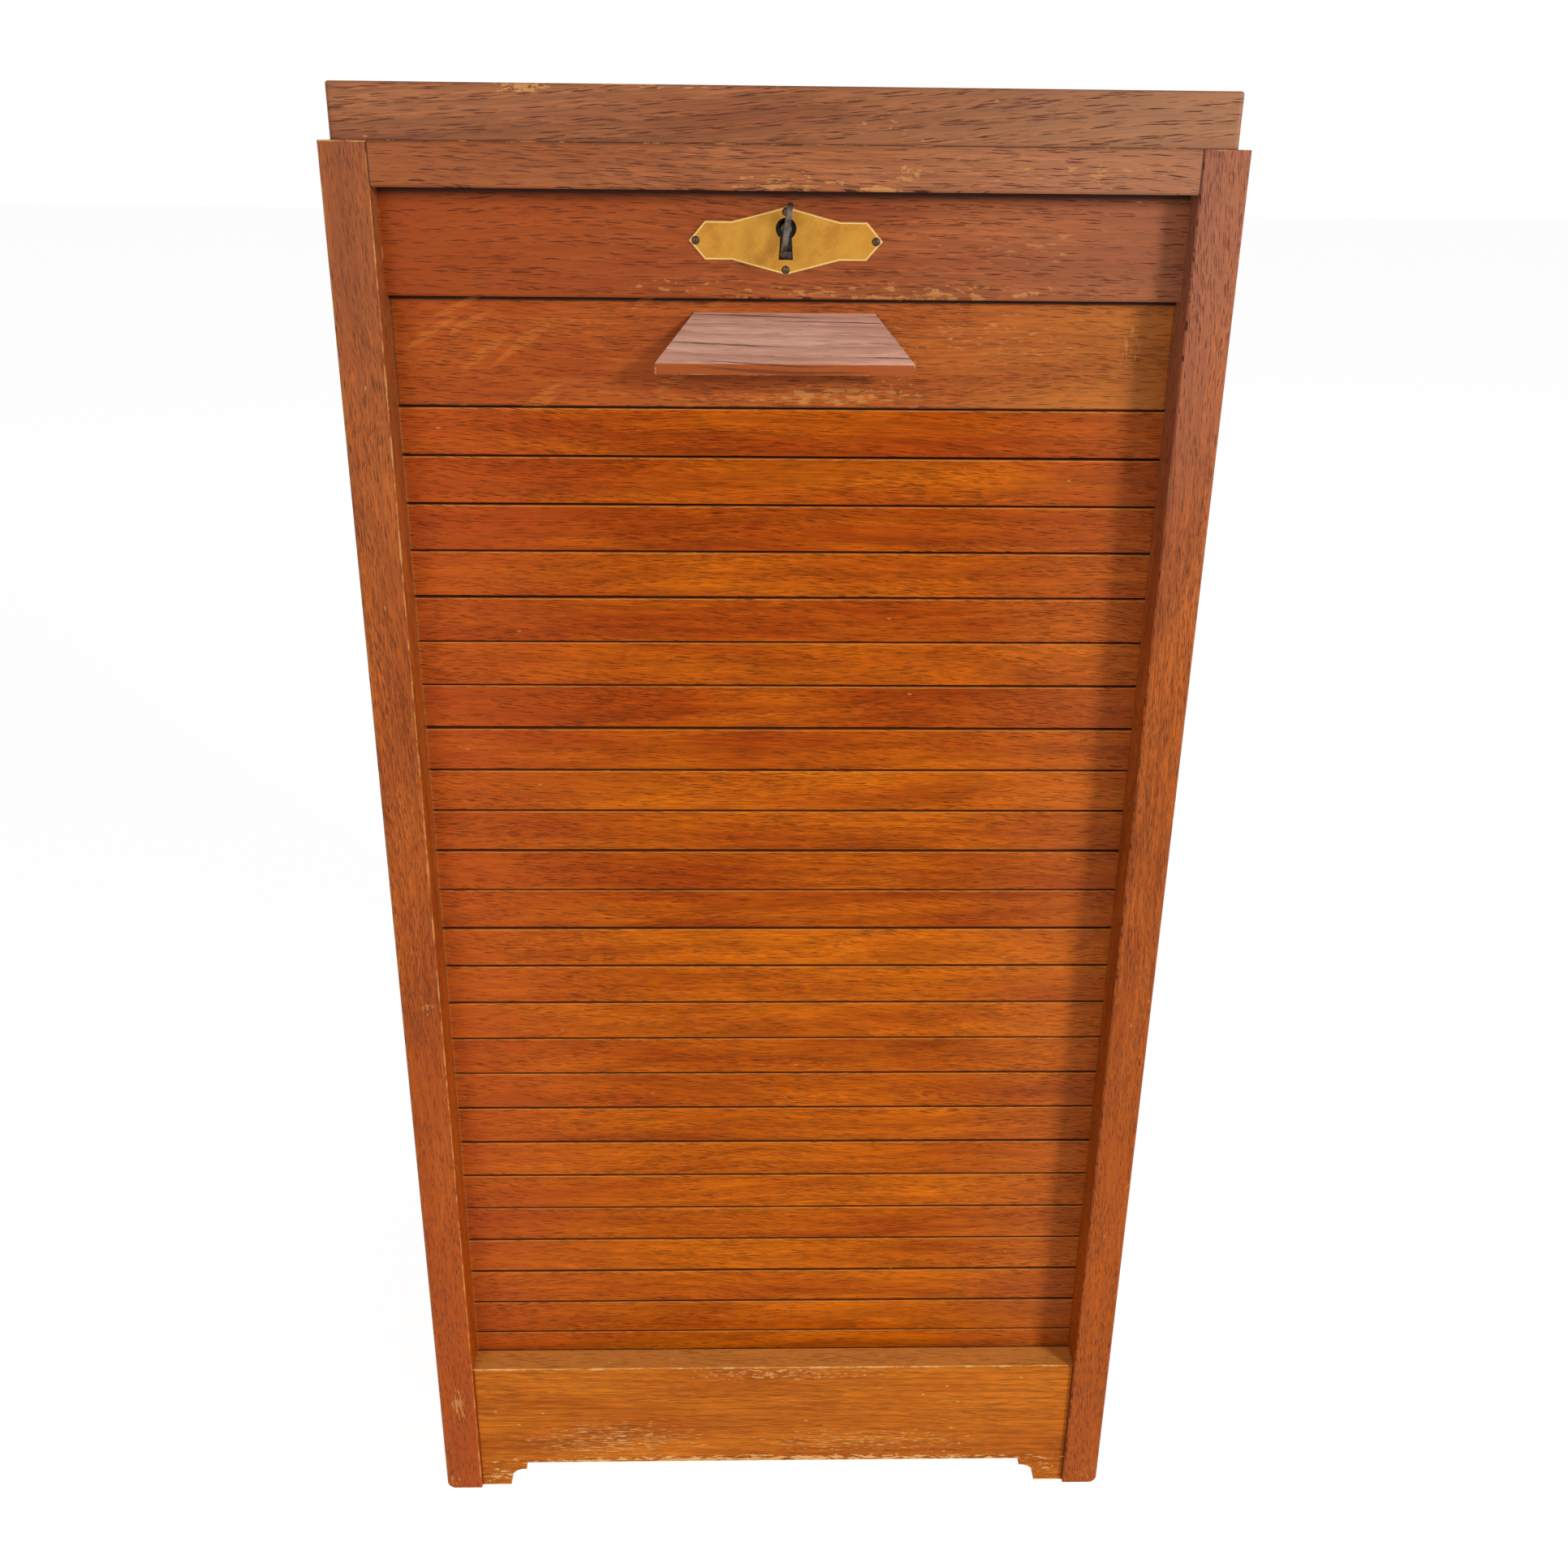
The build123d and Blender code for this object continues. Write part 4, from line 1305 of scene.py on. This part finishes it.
    def _canvas(self) -> None:
        """Models the canvas that the slats are glued to."""
        low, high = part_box("tambour_canvas")
        canvas = Bench.box("curtain_canvas", low, high)
        Bench.pick(canvas, "FACE", lambda middle: True)
        bpy.ops.mesh.subdivide(number_cuts=6)
        Bench.clear()
        Bench.carry(canvas, Vector(), 0.0)
        Bench.smooth(canvas)
        Bench.seat(canvas, self.body, "canvas", CanvasFinish().build(), "tambour_canvas")
        self._squash(canvas)


@dataclass
class Pull:
    """Wooden pull of the curtain: a sloping board with a lip, worn by hands, in metres."""

    body: str = "tambour"
    slot: str = "curtain_oak"
    back_width: float = 104 * MM
    front_width: float = 148 * MM
    drop: float = 25.5 * MM
    lip_depth: float = 6.0 * MM
    edge: float = 0.9 * MM

    def build(self) -> None:
        """Models the pull from a block and gives it its cracked oak."""
        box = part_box("handle")
        reach = box[1].y - box[0].y
        low = Vector((-self.front_width / 2, box[0].y, box[0].z))
        high = Vector((self.front_width / 2, box[1].y, box[1].z))
        pull = Bench.box("pull", low, high)
        step = low.y + self.lip_depth
        Bench.pick(pull, "FACE", lambda middle: True)
        bpy.ops.mesh.bisect(plane_co=(0, step, 0), plane_no=(0, 1, 0))
        touch = 0.01 * MM
        fall = self.drop / reach
        for y, z, shift in (
            (low.y, high.z, -self.drop),
            (step, high.z, self.lip_depth * fall - self.drop),
            (high.y, low.z, self.drop - self.lip_depth * fall),
        ):
            Bench.pick(
                pull,
                "VERT",
                lambda co, y=y, z=z: abs(co.y - y) < touch and abs(co.z - z) < touch,
            )
            bpy.ops.transform.translate(value=(0, 0, shift))
        for y in (step, high.y):
            taper = 1 - (y - low.y) / reach * (1 - self.back_width / self.front_width)
            Bench.pick(pull, "VERT", lambda co, y=y: abs(co.y - y) < touch)
            bpy.ops.transform.resize(value=(taper, 1, 1), center_override=(0, 0, 0))
        Bench.round_edges(pull, self.edge, segments=3)
        Bench.smooth(pull)
        oak = OakFinish(
            name="oak_pull",
            # The pink-brown tones are partly a painted sky reflection on the pull's sloping top;
            # the lip tint gives the lip its own orange.
            dark="#ac7b67",
            light="#cd9e89",
            pore="#4a2a20",
            worn="#c9955c",
            pith=(40.0, 150.0, 60.0),
            run_out=(0.02, 0.05),
            pore_size=(26.0, 0.9),
            pore_share=(0.0, 0.35),
            pore_depth=0.5,
            edge_wear=0.35,
            scratch_share=0.01,
            streak=0.22,
            cracks=0.7,
            roughness=0.4,
            shine=0.14,
            tints=(Tint("#924000", Axis.Z, -10.2, -9.2, 0.95),),
        )
        Bench.seat(pull, self.body, self.slot, oak.build(*box), "handle")


@dataclass
class LockFront:
    """Brass plate with its pins, the key, and the steel of the lock behind.

    The plate's outline is in mm, as its finish is, and the pins are in metres.
    """

    body: str = "carcass"
    end_height: float = 20.8
    shoulder: float = 9.2
    waist: float = 60.0
    head: float = 4.6 * MM
    dome: float = 0.62
    margin_x: float = 4.0 * MM
    margin_z: float = 2.8 * MM

    def build(self) -> None:
        """Models the pins and dresses the lock's metal pieces."""
        low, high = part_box("escutcheon")
        # The plate's rim is partly rubbed brass and partly a painted highlight on its chamfer.
        brass = MetalFinish(
            "rolled_brass", "#c48c32", "#a26d20", cloud=16.0, grit=0.8, metallic=0.75, rim=1.2
        )
        Bench.dress("escutcheon", brass.build((low + high) / 2, self._edges(low, high)))
        self._pins(low, high)
        iron = MetalFinish(
            "handled_iron", "#7a6e64", "#332923", cloud=5.0, grit=0.7, metallic=0.85
        )
        Bench.dress("key", iron.build())
        steel = MetalFinish(
            "lock_steel", "#8d877c", "#5f574c", cloud=14.0, grit=0.8, metallic=0.9
        )
        plain = steel.build()
        for node in ("plate", "case", "screws", "bolt", "staple"):
            Bench.dress(f"lock_{node}", plain)
        for node in ("staple_screws", "handle_screws"):
            Bench.dress(node, plain)

    def _edges(self, low: Vector, high: Vector) -> Edges:
        """Works out the plate's straight edges from its corners.

        Args:
            low: Lowest corner of the plate, in metres.
            high: Highest corner of the plate, in metres.

        Returns:
            Outward direction and distance in mm of the shoulder, the end and the slope.
        """
        tip, crown = (high.x - low.x) / 2 / MM, (high.z - low.z) / 2 / MM
        half = self.end_height / 2
        end = Vector((half, 0, self.shoulder)).normalized()
        slope = Vector((crown - half, 0, self.waist / 2)).normalized()
        return ((Vector((0, 0, 1)), half), (end, end.x * tip), (slope, slope.z * crown))

    def _pins(self, low: Vector, high: Vector) -> None:
        """Models one domed pin head and copies it to the four points of the plate.

        Args:
            low: Lowest corner of the plate, in metres.
            high: Highest corner of the plate, in metres.
        """
        middle = (low + high) / 2
        reach_x = (high.x - low.x) / 2 - self.margin_x
        reach_z = (high.z - low.z) / 2 - self.margin_z
        seat = Vector((middle.x, low.y, middle.z))
        Bench.clear()
        bpy.ops.mesh.primitive_uv_sphere_add(
            segments=24, ring_count=12, radius=self.head / 2, location=seat
        )
        first = Bench.settle("pin")
        Bench.pick(first, "FACE", lambda co: True)
        bpy.ops.mesh.bisect(
            plane_co=seat, plane_no=(0, 1, 0), clear_outer=True, use_fill=True
        )
        Bench.pick(first, "VERT", lambda co: True)
        bpy.ops.transform.resize(value=(1, self.dome, 1), center_override=seat)
        Bench.clear()
        pins = []
        for x, z in ((reach_x, 0), (-reach_x, 0), (0, reach_z), (0, -reach_z)):
            pin = Bench.copy(first, "pin_copy")
            pin.data.transform(Matrix.Translation((x, 0, z)))
            pins.append(pin)
        bpy.data.objects.remove(first)
        heads = Bench.join(pins, "pin_heads")
        Bench.smooth(heads, angle=50.0)
        bronze = MetalFinish(
            "brown_bronze", "#5f4a36", "#30241b", cloud=2.0, grit=0.5, metallic=0.8
        )
        Bench.seat(heads, self.body, "dark_pins", bronze.build(), "escutcheon_pins")


@dataclass(frozen=True)
class Lamp:
    """A round soft lamp that is aimed at a point, in metres and watts."""

    name: str
    place: Point
    aim: Point
    size: float
    power: float


@dataclass
class Studio:
    """Pale floor, soft light and the photograph's camera.

    Places are in metres, angles in degrees, and lens and sensor in mm.
    """

    camera_place: Point = (-0.0211, -1.0925, 0.9654)
    yaw: float = 1.47
    pitch: float = 22.80
    roll: float = 0.65
    lens: float = 35.72
    sensor: float = 36.0
    sky: float = 0.22
    window: Lamp = Lamp("window", (4.2, -4.43, 2.6), (0.0, -0.17, 0.55), 1.6, 285.0)
    reflector: Lamp = Lamp("reflector", (-1.2, -2.6, 1.9), (0.0, -0.17, 0.3), 1.4, 24.0)
    near: float = 0.01
    floor_size: float = 40.0
    floor_grey: float = 0.75
    floor_glow: float = 0.92
    floor_bounce: float = 0.4
    floor_shade: float = 0.25

    def build(self) -> None:
        """Sets up floor, world, lamps and camera."""
        scene = bpy.context.scene
        scene.view_settings.view_transform = "Standard"
        self._floor()
        self._world(scene)
        for lamp in (self.window, self.reflector):
            self._hang(lamp)
        self._camera(scene)

    def _floor(self) -> None:
        """Lays a floor that looks white and keeps a faint shadow."""
        Bench.clear()
        bpy.ops.mesh.primitive_plane_add(size=self.floor_size)
        floor = Bench.settle("studio_floor")
        material, tree = new_tree("studio_paper")
        seen = self._background_rays(tree)
        grey = add_node(tree, "MapRange", (seen, 0.0, 1.0, self.floor_grey, self.floor_shade))
        paper = add_node(tree, "BsdfDiffuse", (grey,))
        span = (seen, 0.0, 1.0, self.floor_bounce, self.floor_glow)
        glow = add_node(tree, "MapRange", span)
        white = add_node(tree, "Emission", (linear("#ffffff"), glow))
        add_node(tree, "OutputMaterial", (add_node(tree, "AddShader", (paper, white)),))
        floor.data.materials.append(material)

    @staticmethod
    def _background_rays(tree: Tree) -> Socket:
        """Marks the rays that see the background itself.

        Args:
            tree: Node tree of the floor or the world.

        Returns:
            One for camera, glossy and transmission rays, and zero for the rest.
        """
        path = add_node(tree, "LightPath").node.outputs
        seen = path["Is Camera Ray"]
        for ray in ("Is Glossy Ray", "Is Transmission Ray"):
            seen = add_node(tree, "Math", (seen, path[ray]), operation="MAXIMUM")
        return seen

    def _world(self, scene: bpy.types.Scene) -> None:
        """Fills the studio with an even white light.

        Args:
            scene: Scene that gets the world.
        """
        world = bpy.data.worlds.new("studio_world")
        world.use_nodes = True
        tree = world.node_tree
        tree.nodes.clear()
        seen = self._background_rays(tree)
        level = add_node(tree, "MapRange", (seen, 0.0, 1.0, self.sky, 1.0))
        light = add_node(tree, "Background", (linear("#ffffff"), level))
        add_node(tree, "OutputWorld", (light,))
        scene.world = world

    @staticmethod
    def _hang(lamp: Lamp) -> None:
        """Hangs a lamp.

        Args:
            lamp: Its place, aim, size and power.
        """
        data = bpy.data.lights.new(lamp.name, "AREA")
        data.shape = "DISK"
        data.size = lamp.size
        data.energy = lamp.power
        hung = bpy.data.objects.new(lamp.name, data)
        bpy.context.scene.collection.objects.link(hung)
        place, aim = Vector(lamp.place), Vector(lamp.aim)
        hung.location = place
        hung.rotation_mode = "QUATERNION"
        hung.rotation_quaternion = (aim - place).to_track_quat("-Z", "Y")

    def _camera(self, scene: bpy.types.Scene) -> None:
        """Places the camera as it stood for the photograph.

        Args:
            scene: Scene that gets the camera.
        """
        yaw, pitch, roll = (math.radians(a) for a in (self.yaw, self.pitch, self.roll))
        level = math.cos(pitch)
        ahead = Vector((math.sin(yaw) * level, math.cos(yaw) * level, -math.sin(pitch)))
        right = Vector((math.cos(yaw), -math.sin(yaw), 0.0))
        down = ahead.cross(right)
        side = right * math.cos(roll) - down * math.sin(roll)
        foot = down * math.cos(roll) + right * math.sin(roll)
        data = bpy.data.cameras.new("photo_camera")
        data.lens = self.lens
        data.sensor_width = self.sensor
        data.clip_start = self.near
        camera = bpy.data.objects.new("photo_camera", data)
        scene.collection.objects.link(camera)
        turn = Matrix((side, -foot, -ahead)).transposed().to_4x4()
        camera.matrix_world = Matrix.Translation(self.camera_place) @ turn
        scene.camera = camera


def main() -> None:
    """Builds the pieces in order and sets up the studio."""
    logging.basicConfig(level=logging.INFO, format="%(name)s: %(message)s")
    Carcass().dress()
    Curtain().build()
    Pull().build()
    LockFront().build()
    Studio().build()


if __name__ == "__main__":
    main()
